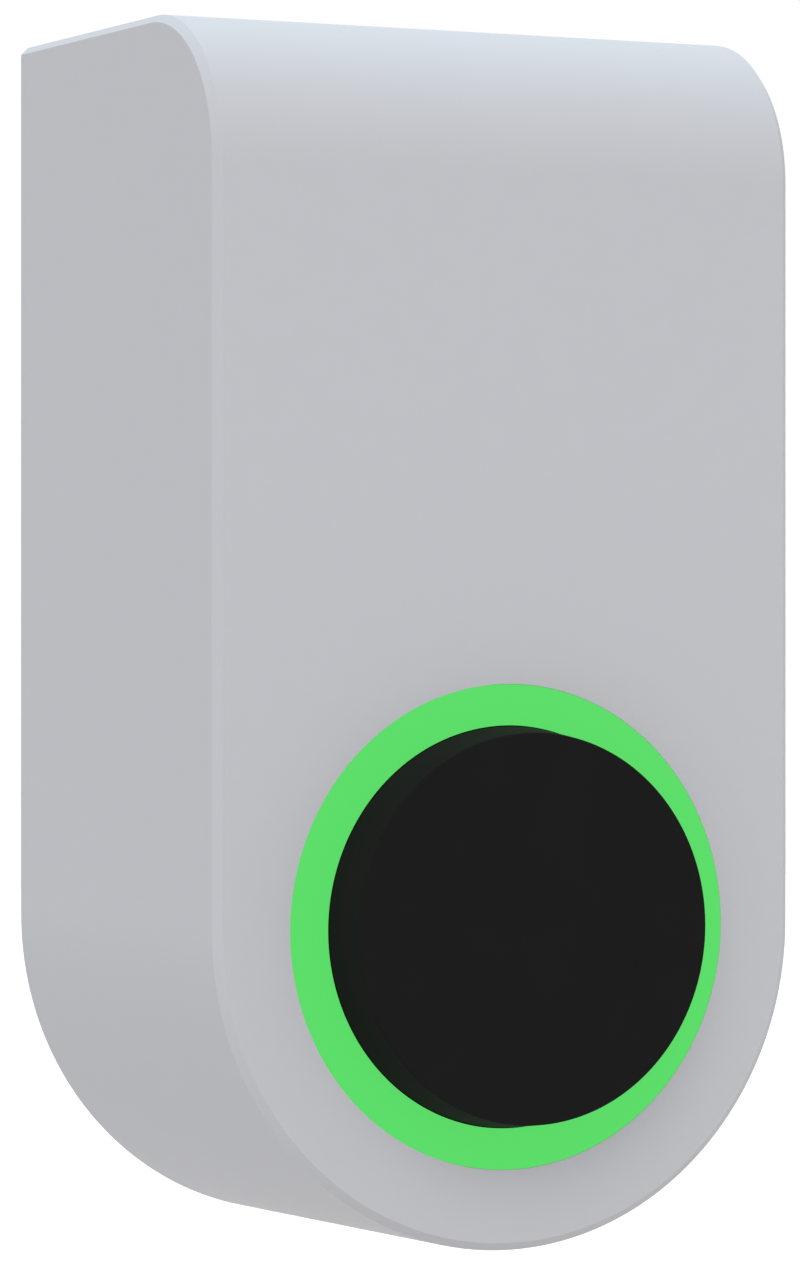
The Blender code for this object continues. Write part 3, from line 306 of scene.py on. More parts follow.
def loft(loops, ring=False):
    n = len(loops[0])
    points = [p for loop in loops for p in loop]
    faces = []
    for k in range(len(loops) if ring else len(loops) - 1):
        a, b = k * n, ((k + 1) % len(loops)) * n
        faces += [(a + i, a + (i + 1) % n, b + (i + 1) % n, b + i) for i in range(n)]
    if not ring:
        faces += [tuple(range(n)), tuple(reversed(range((len(loops) - 1) * n, len(loops) * n)))]
    return mesh_of(points, faces)


def merged(meshes):
    bm = bmesh.new()
    for mesh in meshes:
        bm.from_mesh(mesh)
        bpy.data.meshes.remove(mesh)
    out = bpy.data.meshes.new("shape")
    bm.to_mesh(out)
    bm.free()
    return out


def combined(mesh, others, operation):
    """mesh with one Boolean done for every other, through temporary objects."""
    for other in others:
        a, b = bpy.data.objects.new("a", mesh), bpy.data.objects.new("b", other)
        for each in (a, b):
            scene.collection.objects.link(each)
        modifier = a.modifiers.new("b", "BOOLEAN")
        modifier.operation, modifier.solver, modifier.object = operation, "EXACT", b
        bpy.context.view_layer.update()
        done = bpy.data.meshes.new_from_object(a.evaluated_get(bpy.context.evaluated_depsgraph_get()))
        for each in (a, b):
            bpy.data.objects.remove(each)
        mesh = done
    return mesh


def cut(mesh, *others):
    return combined(mesh, others, "DIFFERENCE")


def join(mesh, *others):
    return combined(mesh, others, "UNION")


def piece(name, mesh, material, replaces=(), body=BODY, angle=32, bevel=0.0, segments=2, weighted=True):
    """A finished piece in the world's axes, riding on its body."""
    mesh.transform(TO_WORLD)
    mesh.name = name
    mesh.materials.clear()
    mesh.materials.append(material)
    for polygon in mesh.polygons:
        polygon.material_index = 0
    mesh.shade_smooth()
    made = bpy.data.objects.new(name, mesh)
    scene.collection.objects.link(made)
    if bevel > 0:
        modifier = made.modifiers.new("edges", "BEVEL")
        modifier.width, modifier.segments, modifier.limit_method, modifier.angle_limit = bevel * 0.001, segments, "ANGLE", math.radians(38)
        modifier.use_clamp_overlap = True
        modifier.harden_normals = False
    else:
        mesh.set_sharp_from_angle(angle=math.radians(angle))
    if weighted:
        modifier = made.modifiers.new("shading", "WEIGHTED_NORMAL")
        modifier.keep_sharp = True
        modifier.weight = 60
    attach(made, body)
    if replaces:
        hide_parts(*replaces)
    return made


def smooth_path(points, per_span=8):
    p = [Vector(points[0]) * 2 - Vector(points[1]), *map(Vector, points), Vector(points[-1]) * 2 - Vector(points[-2])]
    out = []
    for i in range(1, len(p) - 2):
        for k in range(per_span):
            t = k / per_span
            a, b, c, d = p[i - 1], p[i], p[i + 1], p[i + 2]
            out.append(0.5 * ((2 * b) + (c - a) * t + (2 * a - 5 * b + 4 * c - d) * t * t + (3 * b - a - 3 * c + d) * t ** 3))
    return [*out, p[-2]]


def tube(name, path, r, material, replaces=(), body=BODY, sides=4):
    curve = bpy.data.curves.new(name, "CURVE")
    curve.dimensions = "3D"
    curve.bevel_depth = r * 0.001
    curve.bevel_resolution = sides
    curve.use_fill_caps = True
    spline = curve.splines.new("POLY")
    spline.points.add(len(path) - 1)
    for point, at in zip(spline.points, path):
        point.co = (*(TO_WORLD @ Vector(at)), 1)
    curve.materials.append(material)
    made = bpy.data.objects.new(name, curve)
    scene.collection.objects.link(made)
    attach(made, body)
    if replaces:
        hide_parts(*replaces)
    return made


# ---------------------------------------------------------------- casing shell
def edge_path(inset, u, v, z_back, n_fillet, n_arc):
    """One line along the casing's front and top edge: u in from the side face, v in from the front and top face."""
    hw, top, front, r = HALF - inset, TOP - inset, DEPTH - inset, TOP_R - inset
    yc, zc = top - r, front - r
    line = [(-hw + u, top - v, z_back)]
    line += [(-hw + u, yc + (r - v) * math.cos(a), zc + (r - v) * math.sin(a)) for a in (math.pi / 2 * i / n_fillet for i in range(n_fillet + 1))]
    line += [((hw - u) * math.cos(a), CY + (hw - u) * math.sin(a), front - v) for a in (math.pi + math.pi * i / n_arc for i in range(n_arc + 1))]
    line += [(hw - u, yc + (r - v) * math.cos(a), zc + (r - v) * math.sin(a)) for a in (math.pi / 2 * i / n_fillet for i in range(n_fillet, -1, -1))]
    line.append((hw - u, top - v, z_back))
    return line


def casing_skin(inset, profile, z_back, rim, n_fillet=36, n_arc=144):
    """Points and faces of one skin of the casing, with its back loop and its front loop. rim is not used."""
    points, faces = [], []
    lines = []
    for u, v in profile:
        lines.append(len(points))
        points += edge_path(inset, u, v, z_back, n_fillet, n_arc)
    n = 2 * n_fillet + n_arc + 5
    for a, b in zip(lines, lines[1:]):
        faces += [(a + i, a + i + 1, b + i + 1, b + i) for i in range(n - 1)]
    side, face = lines[0], lines[-1]
    keep = list(range(2, n - 2))
    back = {0: side, 1: side, n - 1: side + n - 1, n - 2: side + n - 1}
    for i in keep:
        back[i] = len(points)
        x, y, _ = points[side + i]
        points.append((x, y, z_back))
    for i in range(1, n - 2):
        faces.append(tuple(dict.fromkeys((back[i], back[i + 1], side + i + 1, side + i))))
    # top and round, across from one edge to the other
    for i in range(n_fillet + 1):
        faces.append((face + i, face + i + 1, face + n - 2 - i, face + n - 1 - i))
    loop = [*reversed(lines[1:]), side, *[back[i] for i in keep], side + n - 1, *[k + n - 1 for k in lines[1:]]]
    front = [face + i for i in range(n_fillet + 1, n - n_fillet - 1)]
    return points, faces, loop, front


def casing_shell():
    c, e = EDGE_C, 0.22
    outside = rounded([(0, c + 1.6), (0, c), (c, 0), (c + 1.6, 0)], e, 4)
    outside = [(0, c + 3.0), *outside, (c + 3.0, 0)]
    n_hole = 192
    all_points, all_faces = [], []

    def add(points, faces):
        shift = len(all_points)
        all_points.extend(points)
        all_faces.extend(tuple(i + shift for i in f) for f in faces)
        return shift

    points, faces, back_out, front_out = casing_skin(0.0, outside, BACK_GAP, 0)
    add(points, faces)
    inner_profile = [(0, 1.0), (1.0, 0)]
    points, faces, back_in, front_in = casing_skin(WALL, inner_profile, BACK_GAP, 0, n_fillet=36, n_arc=144)
    shift = add(points, faces)
    back_in = [i + shift for i in back_in]
    front_in = [i + shift for i in front_in]

    def ring(r, z):
        start = len(all_points)
        all_points.extend((x, y, z) for x, y in circle(0, CY, r, n_hole))
        return list(range(start, start + n_hole))

    def flat(outer, hole):
        index = outer + hole
        made = tessellate_polygon([[Vector((all_points[i][0], all_points[i][1], 0)) for i in outer], [Vector((all_points[i][0], all_points[i][1], 0)) for i in hole]])
        all_faces.extend(tuple(index[i] for i in t) for t in made)

    pocket = rounded([(74.3, DEPTH), (72.0, DEPTH), (72.0, 143.3), (66.4, 143.3), (66.4, DEPTH - WALL)], [0, 0.06, 0.15, 0.3, 0], 3)
    rings = [ring(r, z) for r, z in pocket]
    for a, b in zip(rings, rings[1:]):
        all_faces.extend((a[i], a[(i + 1) % n_hole], b[(i + 1) % n_hole], b[i]) for i in range(n_hole))
    flat(front_out, rings[0])
    flat(front_in, rings[-1])
    # the rim that faces the wall, from the outer skin to the inner one
    out_loop, in_loop = [all_points[i] for i in back_out], [all_points[i] for i in back_in]
    made_out = tessellate_polygon([[Vector((x, y, 0)) for x, y, _ in out_loop], [Vector((x, y, 0)) for x, y, _ in in_loop]])
    index = back_out + back_in
    all_faces.extend(tuple(index[i] for i in t) for t in made_out)
    mesh = mesh_of(all_points, all_faces)
    seats = [lathe([(0, -185.5), (4.5, -185.5), (4.5, -181.2), (2.3, -178.9), (2.3, -176), (0, -176)], 48, (x, 0, 18.0), "y", closed=False) for x in (-14, 14)]
    return cut(mesh, *seats)


piece("casing_shell", casing_shell(), CASING, ["front_cover"], angle=28)

# ---------------------------------------------------------------- status ring and lid
N_ROUND = 224
ring_profile = rounded([(59.75, 145.1), (71.93, 145.1), (71.93, 143.6), (66.1, 143.6), (66.1, 138.1), (61.4, 138.1), (61.4, 142.2), (59.75, 143.7)],
                       [0.18, 0.12, 0.2, 0.3, 0.4, 0.4, 0.3, 0.2], 5, closed=True)
piece("status_ring", lathe(ring_profile, N_ROUND, (0, CY, 0)), LAMP, ["light_ring"])

lid_profile = rounded([(0, 161.0), (57.72, 161.0), (59.47, 144.6), (57.3, 144.6), (55.5, 158.4), (45.5, 158.4), (45.5, 157.2), (43.9, 157.2), (43.9, 159.2), (40.1, 159.2),
                       (40.1, 157.6), (38.9, 157.6), (38.9, 158.4), (22.6, 158.4), (22.6, 157.8), (21.4, 157.8), (21.4, 158.4), (0, 158.4)],
                      [0, 0.55, 0.3, 0.4, 1.6, 0.3, 0.25, 0.25, 0.2, 0.2, 0.2, 0.2, 0.2, 0.2, 0.2, 0.2, 0.2, 0], 6)
lid = lathe(lid_profile, N_ROUND, (0, CY, 0))
lid = cut(lid, block(50.4, 63, CY - 12.7, CY + 12.7, 140, 155.6))


def knuckle(y0, y1, z_root, x_left, x_right, ease=0.35):
    """A hinge knuckle along Y, with a web that runs to z_root."""
    up = z_root > HINGE_Z
    arc = []
    for i in range(25):
        a = math.pi * i / 24
        arc.append((HINGE_R * math.cos(a), HINGE_R * math.sin(a) * (-1 if up else 1)))
    outline = arc + [(max(x_left, -HINGE_R), z_root - HINGE_Z), (x_right, z_root - HINGE_Z)]
    mesh = prism(outline, y0, y1, edge=ease, steps=3)
    mesh.transform(Matrix(((1, 0, 0, HINGE_X), (0, 0, 1, 0), (0, 1, 0, HINGE_Z), (0, 0, 0, 1))))
    bm = bmesh.new()
    bm.from_mesh(mesh)
    bmesh.ops.recalc_face_normals(bm, faces=bm.faces)
    bm.to_mesh(mesh)
    bm.free()
    return mesh


for a, b in ((5.2, 8.2), (-8.2, -5.2)):
    lid = join(lid, knuckle(CY + a, CY + b, 159.4, -2.4, 1.4))
lid = cut(lid, lathe([(0, -10), (1.5, -10), (1.5, 10), (0, 10)], 32, (HINGE_X, CY, HINGE_Z), "y", closed=False))
piece("lid_cap", lid, BLACK, ["socket_lid"], body="lid", angle=30)

seal_profile = rounded([(40.5, 158.85), (43.5, 158.85), (43.5, 154.6), (43.0, 152.6), (42.4, 152.0), (41.9, 152.4), (40.5, 155.6)], [0.2, 0.2, 0.6, 0.5, 0.3, 0.5, 0.6], 4, closed=True)
piece("lid_gasket", lathe(seal_profile, N_ROUND, (0, CY, 0)), RUBBER, ["lid_seal"], body="lid")
piece("hinge_pin", lathe(rounded([(0, -12.2), (1.2, -12.2), (1.2, 12.2), (0, 12.2)], [0, 0.3, 0.3, 0], 4), 32, (HINGE_X, CY, HINGE_Z), "y", closed=False), STAINLESS, ["lid_hinge_pin"])

spring_path = [(HINGE_X - 11.0, CY - 4.4, 144.4), (HINGE_X - 5.0, CY - 4.4, 145.6)]
steps = 5.5 * 24
for i in range(int(steps) + 1):
    a = math.radians(200) + 2 * math.pi * 5.5 * i / steps
    spring_path.append((HINGE_X + 2.3 * math.cos(a), CY - 4.4 + 8.8 * i / steps, HINGE_Z + 2.3 * math.sin(a)))
spring_path += [(HINGE_X - 1.5, CY + 4.4, HINGE_Z + 4.4), (HINGE_X - 10.0, CY + 4.4, HINGE_Z + 6.0)]
tube("hinge_spring", spring_path, 0.42, STAINLESS, ["lid_spring"], sides=3)

# ---------------------------------------------------------------- socket bezel
BEZEL_EARS = [(81.0 * math.cos(a), CY + 81.0 * math.sin(a)) for a in (math.radians(45 + 90 * k) for k in range(4))]
SOCKET_SCREWS = [(sx * 35.0, CY + sy * 35.0) for sx, sy in ((1, 1), (-1, 1), (-1, -1), (1, -1))]
bezel_profile = rounded([(36.2, 134.6), (36.2, 138.0), (38.6, 138.0), (41.0, 140.0), (41.0, 150.8), (41.8, 151.6), (43.4, 151.6), (44.2, 150.8), (44.2, 143.2), (59.9, 143.2), (59.9, 134.6),
                         (76.0, 134.6), (76.0, 131.0), (58.0, 131.0), (58.0, 134.6)],
                        [0.3, 0.4, 0.5, 0.8, 0.5, 0.5, 0.5, 0.5, 0.8, 0.5, 0.4, 0.4, 0.4, 0.3, 0.3], 4, closed=True)
bezel = lathe(bezel_profile, 192, (0, CY, 0))
for x, y in BEZEL_EARS:
    bezel = join(bezel, lathe(rounded([(0, 131.0), (5.2, 131.0), (5.2, 134.6), (0, 134.6)], [0, 0.4, 0.4, 0], 3), 40, (x, y, 0), closed=False))
for a, b in ((8.5, 12.0), (-12.0, -8.5)):
    bezel = join(bezel, knuckle(CY + a, CY + b, 141.0, -2.6, 2.5))
bezel_cuts = [lathe([(0, -14), (1.5, -14), (1.5, 14), (0, 14)], 32, (HINGE_X, CY, HINGE_Z), "y", closed=False), block(-3.5, 3.5, CY - 46, CY - 39.5, 144.6, 155, corner=0.0)]
bezel_cuts += [lathe([(0, 129), (2.2, 129), (2.2, 137), (0, 137)], 32, (x, y, 0), closed=False) for x, y in BEZEL_EARS]
bezel_cuts += [lathe([(0, 133), (1.8, 133), (1.8, 141.6), (0, 141.6)], 32, (x, y, 0), closed=False) for x, y in SOCKET_SCREWS]
bezel = cut(bezel, merged(bezel_cuts))
piece("bezel", bezel, BLACK, ["socket_bezel"], angle=30)


# ---------------------------------------------------------------- vehicle socket
def polar_d(r, flat, angles, z):
    out = []
    for a in angles:
        reach = r if math.sin(a) <= 0 else min(r, flat / max(math.sin(a), 1e-6))
        out.append((reach * math.cos(a), CY + reach * math.sin(a), z))
    return out


def d_angles(*shapes, n=160):
    angles = {round(2 * math.pi * i / n, 9) for i in range(n)}
    for r, flat in shapes:
        a = math.asin(flat / r)
        angles |= {round(a, 9), round(math.pi - a, 9)}
    return sorted(angles)


CONTACTS = {
    "l1": (-17.0, 0.0, True), "l2": (-8.9, -14.8, True), "l3": (8.9, -14.8, True), "n": (17.0, 0.0, True), "pe": (0.0, 0.0, True),
    "cp": (-8.5, 13.2, False), "pp": (8.5, 13.2, False),
}
outer = d_angles((32.0, 25.5), (32.4, 25.9))
shell = loft([[(35.7 * math.cos(a), CY + 35.7 * math.sin(a), 98.0) for a in outer], [(35.7 * math.cos(a), CY + 35.7 * math.sin(a), 136.9) for a in outer],
              [(35.5 * math.cos(a), CY + 35.5 * math.sin(a), 137.45) for a in outer], [(35.1 * math.cos(a), CY + 35.1 * math.sin(a), 137.7) for a in outer],
              polar_d(32.6, 26.1, outer, 137.7), polar_d(32.2, 25.7, outer, 137.55), polar_d(32.0, 25.5, outer, 137.1), polar_d(32.0, 25.5, outer, 103.0)])
flange = prism(rectangle(0, CY, 84, 84, 8, 8), 129.4, 133.2, edge=0.4)
pad = block(-15, 15, CY + 28, CY + 36.2, 101, 127, edge=0.3, corner=0.6)
shell = join(shell, flange, pad)
plug_space = loft([polar_d(31.99, 25.49, outer, 110.0), polar_d(31.99, 25.49, outer, 103.0)])
shell_cuts = [lathe([(0, 95), (4.6 if power else 2.9, 95), (4.6 if power else 2.9, 105), (0, 105)], 40, (x, CY + y, 0), closed=False) for x, y, power in CONTACTS.values()]
shell_cuts += [lathe([(0, 0), (2.6, 0), (2.6, 16), (0, 16)], 32, (0, CY + 22.6, 114.0), "y", closed=False)]
shell_cuts += [lathe([(0, 127), (2.1, 127), (2.1, 136), (0, 136)], 32, (x, y, 0), closed=False) for x, y in SOCKET_SCREWS]
inside = d_angles((32.0, 25.5))
shell = cut(shell, loft([polar_d(31.95, 25.45, inside, 103.0), polar_d(31.95, 25.45, inside, 133.5)]), merged(shell_cuts))
piece("socket_shell", shell, INSERT, ["socket_body"], angle=30)
bpy.data.meshes.remove(plug_space)

angles = d_angles((26.3, 19.6), (25.9, 19.2))
insert = loft([polar_d(26.3, 19.6, angles, 103.3), polar_d(26.3, 19.6, angles, 137.1), polar_d(26.18, 19.48, angles, 137.42), polar_d(25.95, 19.25, angles, 137.62), polar_d(25.7, 19.0, angles, 137.7)])
bores = []
for x, y, power in CONTACTS.values():
    r, mouth = (4.6, 3.4) if power else (2.9, 2.0)
    bores.append(lathe([(0, 95), (r, 95), (r, 134.6), (mouth, 134.6), (mouth, 137.0), (mouth + 0.25, 137.35), (mouth + 0.7, 137.71), (mouth + 0.7, 141), (0, 141)], 48, (x, CY + y, 0), closed=False))
insert = cut(insert, merged(bores))
# each opening narrows to a chamfered mouth at the front, with a wider bore behind it
piece("socket_core", insert, INSERT, ["socket_insert"], angle=30)

for name, (x, y, power) in CONTACTS.items():
    if power:
        profile = rounded([(0, 106), (3.05, 106), (3.05, 133.0), (3.5, 134.2), (4.3, 134.2), (4.3, 97.8), (3.4, 97.8), (3.4, 86), (2.6, 86), (2.6, 95), (0, 95)],
                          [0, 0.4, 0.6, 0.2, 0.35, 0.2, 0.2, 0.2, 0.2, 0.2, 0], 3)
        slots = [block(-5, 5, -0.35, 0.35, 116, 136), block(-0.35, 0.35, -5, 5, 116, 136)]
    else:
        profile = rounded([(0, 110), (1.6, 110), (1.6, 133.4), (1.9, 134.2), (2.6, 134.2), (2.6, 97.8), (2.1, 97.8), (2.1, 86), (1.4, 86), (1.4, 93), (0, 93)],
                          [0, 0.2, 0.3, 0.15, 0.3, 0.2, 0.2, 0.15, 0.15, 0.2, 0], 3)
        slots = [block(-3.5, 3.5, -0.25, 0.25, 122, 136)]
    contact = lathe(profile, 48, closed=False)
    for slot in slots:
        contact = cut(contact, slot)
    contact.transform(Matrix.Translation((x, CY + y, 0)))
    piece(f"plug_contact_{name}", contact, SILVER, [f"contact_{name}"], angle=30)

# ---------------------------------------------------------------- rear housing, seal and wall plate
CABLE_Y, RAIL_Y, VENT, LOCK_SCREW = -112.0, 60.0, (-48.0, -120.0), (0.0, -22.0)
RCD_X, RCD_W, CONTACTOR_X, CONTACTOR_W, SUPPLY_X, SUPPLY_W = -40.0, 72.0, 25.0, 54.0, 63.0, 18.0
RCD_POLES, CONTACTOR_POLES, TERMINAL_POLES = (-67.0, -49.0, -31.0, -13.0), (6.0, 18.7, 31.3, 44.0), (-24.0, -12.0, 0.0, 12.0, 24.0)
POLE_Z = 30.0


def rod(at, axis, length, r, n=48, ease=0.0):
    profile = [(0, 0), (r, 0), (r, length), (0, length)]
    return lathe(rounded(profile, [0, ease, ease, 0], 3) if ease else profile, n, at, axis)


def u_outline(inset, corner=4.5, n_arc=112, n_corner=8):
    """The casing's front outline moved in by inset: square shoulders, a half-round lower end."""
    half, top = HALF - inset, TOP - inset
    r = max(corner - inset, 1.0)
    points = []
    for k in (0, 1):
        sx = 1 if k == 0 else -1
        for i in range(n_corner + 1):
            a = math.pi / 2 * (k + i / n_corner)
            points.append((sx * (half - r) + r * math.cos(a), top - r + r * math.sin(a)))
    points += [(half * math.cos(a), CY + half * math.sin(a)) for a in (math.pi + math.pi * i / n_arc for i in range(n_arc + 1))]
    return points


def u_loft(levels, ring=False):
    return loft([[(x, y, z) for x, y in u_outline(inset)] for inset, z in levels], ring=ring)


tray = u_loft(rounded([(6.5, 3.2), (3.6, 3.2), (3.6, 30.0), (6.4, 30.0), (6.4, 44.0), (9.0, 44.0), (9.0, 6.4), (12.0, 6.4)], [0, 1.0, 0.5, 0.5, 0.5, 0.5, 1.6, 0], 4))
BOARD_POSTS = [(sx * 82.0, y) for sx in (-1, 1) for y in (30.0, 120.0)]
for x, y in BOARD_POSTS:
    tray = join(tray, lathe([(0, 5.0), (6.0, 5.0), (6.0, 8.0), (4.3, 9.6), (4.0, 11.0), (3.9, 93.6), (3.5, 94.0), (0, 94.0)], 32, (x, y, 0)))
tray = join(tray, block(-21, 21, -177.0, -161, 5.4, 26.0, edge=0.6, corner=1.0), block(19, 29, -12.0, -4.0, 5.4, 30.3, edge=0.5, corner=0.8))
# stiffening ribs on the back, outside the wall plate
ribs = [u_loft(rounded([(5.6, 3.6), (5.6, 1.2), (7.2, 1.2), (7.2, 3.6)], [0, 0.4, 0.4, 0], 3), ring=True)]
for sx in (-1, 1):
    for k, x in enumerate((70.5, 77.0, 83.5)):
        ribs.append(block(sx * x - 0.8, sx * x + 0.8, -100 + 6 * k, 174, 1.2, 3.7, edge=0.35, corner=0.5))
    for y in (-60, -20, 20, 60, 100, 140):
        ribs.append(block(min(sx * 69, sx * 89), max(sx * 69, sx * 89), y - 0.8, y + 0.8, 1.4, 3.7, edge=0.35, corner=0.5))
for y in (150, 160, 170):
    ribs.append(block(-84, 84, y - 0.8, y + 0.8, 1.3, 3.7, edge=0.35, corner=0.5))
for y in (-150, -160, -170):
    reach = math.sqrt(88.0 ** 2 - (y - CY) ** 2)
    ribs.append(block(-reach, reach, y - 0.8, y + 0.8, 1.3, 3.7, edge=0.35, corner=0.5))
tray = join(tray, *ribs)
tray_cuts = [rod((0, CABLE_Y, 0.5), "z", 8, 16.3, 72), rod((*VENT, 0.5), "z", 8, 6.4, 48), rod((*LOCK_SCREW, 0.5), "z", 8, 2.6, 32)]
for x in (-35.0, 35.0):
    tray_cuts.append(block(x - 8.5, x + 8.5, 105.0, 116.4, 0.5, 8, corner=1.2))
    tray_cuts.append(block(math.copysign(52, x) - 7, math.copysign(52, x) + 7, 172.5, 175.9, 36.6, 42.0))
for x in (-14, 14):
    tray_cuts.append(rod((x, -181, 18.0), "y", 17.5, 1.9, 32))
tray = cut(tray, merged(tray_cuts))
piece("rear_tray", tray, TRAY, ["rear_housing"], angle=30)
piece("tray_gasket", u_loft(rounded([(6.1, 30.3), (3.4, 30.3), (3.4, 33.6), (4.4, 35.6), (6.1, 35.6)], [0.4, 0.4, 0.5, 0.5, 0.4], 3, closed=True), ring=True), RUBBER, ["housing_seal"])

plate = prism(rectangle(0, 0, 130, 280, 10, 12), 0.0, 2.0, edge=0.35,
              holes=[circle(0, CABLE_Y, 22.0, 96), circle(*VENT, 8.0, 64), *[circle(sx * 52, y, 3.4, 40) for sx in (-1, 1) for y in (122, -100)], circle(*LOCK_SCREW, 2.3, 32),
                     *[rectangle(sx * 30, y, 24, 46, 5, 8) for sx in (-1, 1) for y in (60, -4, -64)]])
for x in (-35.0, 35.0):
    bend = rounded([(111.6, 1.0), (115.8, 1.0), (115.8, 6.8), (122.0, 6.8), (122.0, 8.8), (111.6, 8.8)], [0, 0, 0.6, 0.4, 0.9, 1.6], 4, closed=True)
    plate = join(plate, side_prism(bend, x - 7, x + 7, edge=0.3))
# the pressed-up rims that stiffen the plate's long edges
for sx in (-1, 1):
    plate = join(plate, side_prism(rounded([(-120, 1.5), (-120, 2.85), (96, 2.85), (96, 1.5)], [0, 0.8, 0.8, 0], 4, closed=True), sx * 59.2 - 1.2, sx * 59.2 + 1.2, edge=0.4))
piece("wall_plate", plate, STEEL, ["mounting_plate"], angle=30)


def lobes(r, depth_z0, depth_z1, at=(0, 0)):
    """The six-lobed recess of a screw's drive."""
    loop = []
    for i in range(72):
        a = 2 * math.pi * i / 72
        loop.append((at[0] + r * (1 - 0.17 * (1 - math.cos(6 * a)) / 2 * 1.6) * math.cos(a), at[1] + r * (1 - 0.17 * (1 - math.cos(6 * a)) / 2 * 1.6) * math.sin(a)))
    return prism(loop, min(depth_z0, depth_z1), max(depth_z0, depth_z1))


def thread(r, z0, z1, pitch, depth, tip=0.6, n=36):
    """A screw's shank with a true helical thread, from z0 under the head to its tip at z1."""
    rows, length = [], z1 - z0
    count = max(12, int(length / pitch * 8))
    for k in range(count + 1):
        z = z0 + length * k / count
        fade = min(1.0, (z - z0) / pitch, max(0.0, (z1 - z) / (pitch * 1.2)))
        taper = 1.0 if z1 - z > r * tip else 0.45 + 0.55 * (z1 - z) / (r * tip)
        row = []
        for i in range(n):
            a = 2 * math.pi * i / n
            phase = (z / pitch - i / n) % 1.0
            crest = 1 - abs(2 * phase - 1)
            rr = (r - depth * (1 - max(0.0, min(1.0, crest * 1.5 - 0.25)) * fade)) * taper
            row.append((rr * math.cos(a), rr * math.sin(a), z))
        rows.append(row)
    return loft(rows)


def screw_mesh(r, head_r, head_h, length, drive=None):
    """A pan head screw: its head reaches head_h behind the seat at z 0, its shank length in front of it."""
    head = lathe(rounded([(0, -head_h), (head_r * 0.78, -head_h), (head_r, -head_h * 0.5), (head_r, 0), (0, 0)], [0, head_r * 0.22, head_r * 0.3, 0.15, 0], 5), 56)
    head = cut(head, lobes((drive or head_r * 0.46), -head_h - 1, -head_h * 0.42))
    return merged([head, thread(r, -0.05, length, max(0.6, r * 0.42), r * 0.16)])


def place_screw(name, at, axis_matrix, mesh, node, material=STEEL):
    mesh.transform(Matrix.Translation(Vector(at)) @ axis_matrix)
    piece(name, mesh, material, [node], angle=35)


FORWARD, BACKWARD = Matrix.Identity(4), Matrix.Rotation(math.pi, 4, "X")
place_screw("lock_screw", (*LOCK_SCREW, 6.7), BACKWARD, screw_mesh(1.9, 4.4, 2.6, 6.0), "housing_lock_screw")
for label, x in (("left", -14.0), ("right", 14.0)):
    head = lathe(rounded([(0, 0), (3.9, 0), (3.9, 0.5), (1.5, 2.9), (0, 2.9)], [0, 0.12, 0.2, 0, 0], 3), 64)
    head = cut(head, lobes(1.75, -1, 1.5))
    mesh = merged([head, thread(1.5, 2.7, 16.2, 0.7, 0.22)])
    place_screw(f"closing_screw_{label}", (x, -181.5, 18.0), AXES["y"], mesh, f"cover_screw_{label}", STAINLESS)
for k, (x, y) in enumerate(BEZEL_EARS):
    place_screw(f"ring_screw_{k + 1}", (x, y, 130.7), FORWARD, screw_mesh(1.6, 3.6, 2.6, 10.2), f"bezel_screw_{k + 1}")
for k, (x, y) in enumerate(SOCKET_SCREWS):
    place_screw(f"flange_screw_{k + 1}", (x, y, 129.1), FORWARD, screw_mesh(1.5, 3.4, 2.4, 11.6), f"socket_screw_{k + 1}")
for label, x in (("left", -78.0), ("right", 78.0)):
    place_screw(f"rail_screw_{label}", (x, RAIL_Y, 8.1), BACKWARD, screw_mesh(1.3, 3.6, 2.0, 3.2), f"din_rail_screw_{label}")

grommet = [(8.0, 0.8)]
for r in (10.6, 13.2, 15.8):
    grommet += [(r, 0.8), (r, 1.2), (r + 0.9, 1.2), (r + 0.9, 0.8)]
grommet += [(18.5, 0.8), (19.5, 1.4), (19.5, 2.6), (15.8, 2.9), (15.8, 6.7), (19.5, 7.0), (19.5, 8.6), (16.0, 9.4), (10.4, 13.0), (8.0, 13.0)]
grommet = lathe(rounded(grommet, [0.5] + [0.15] * 12 + [0.3, 0.3, 0.5, 0.2, 0.2, 0.5, 0.5, 0.8, 0.8, 0.5], 4, closed=True), 112, (0, CABLE_Y, 0))
piece("entry_grommet", grommet, RUBBER, ["cable_grommet"], angle=32)
vent = lathe(rounded([(0, 2.2), (5.9, 2.2), (5.9, 6.7), (9.0, 6.7), (9.0, 9.6), (7.8, 10.8), (0, 10.8)], [0, 0.5, 0.1, 0.4, 0.5, 0.6, 0], 4), 64, (*VENT, 0))
vent = cut(vent, merged([block(VENT[0] - 0.45 + dx, VENT[0] + 0.45 + dx, VENT[1] - 3.6 + abs(dx) * 0.5, VENT[1] + 3.6 - abs(dx) * 0.5, 1.0, 3.4) for dx in (-3.0, -1.0, 1.0, 3.0)]
                        + [block(VENT[0] + 9.3 * math.cos(a) - 0.5, VENT[0] + 9.3 * math.cos(a) + 0.5, VENT[1] + 9.3 * math.sin(a) - 0.5, VENT[1] + 9.3 * math.sin(a) + 0.5, 7.4, 11.5)
                           for a in (2 * math.pi * k / 18 for k in range(18))]))
piece("breather", vent, TRAY, ["pressure_vent"], angle=32)

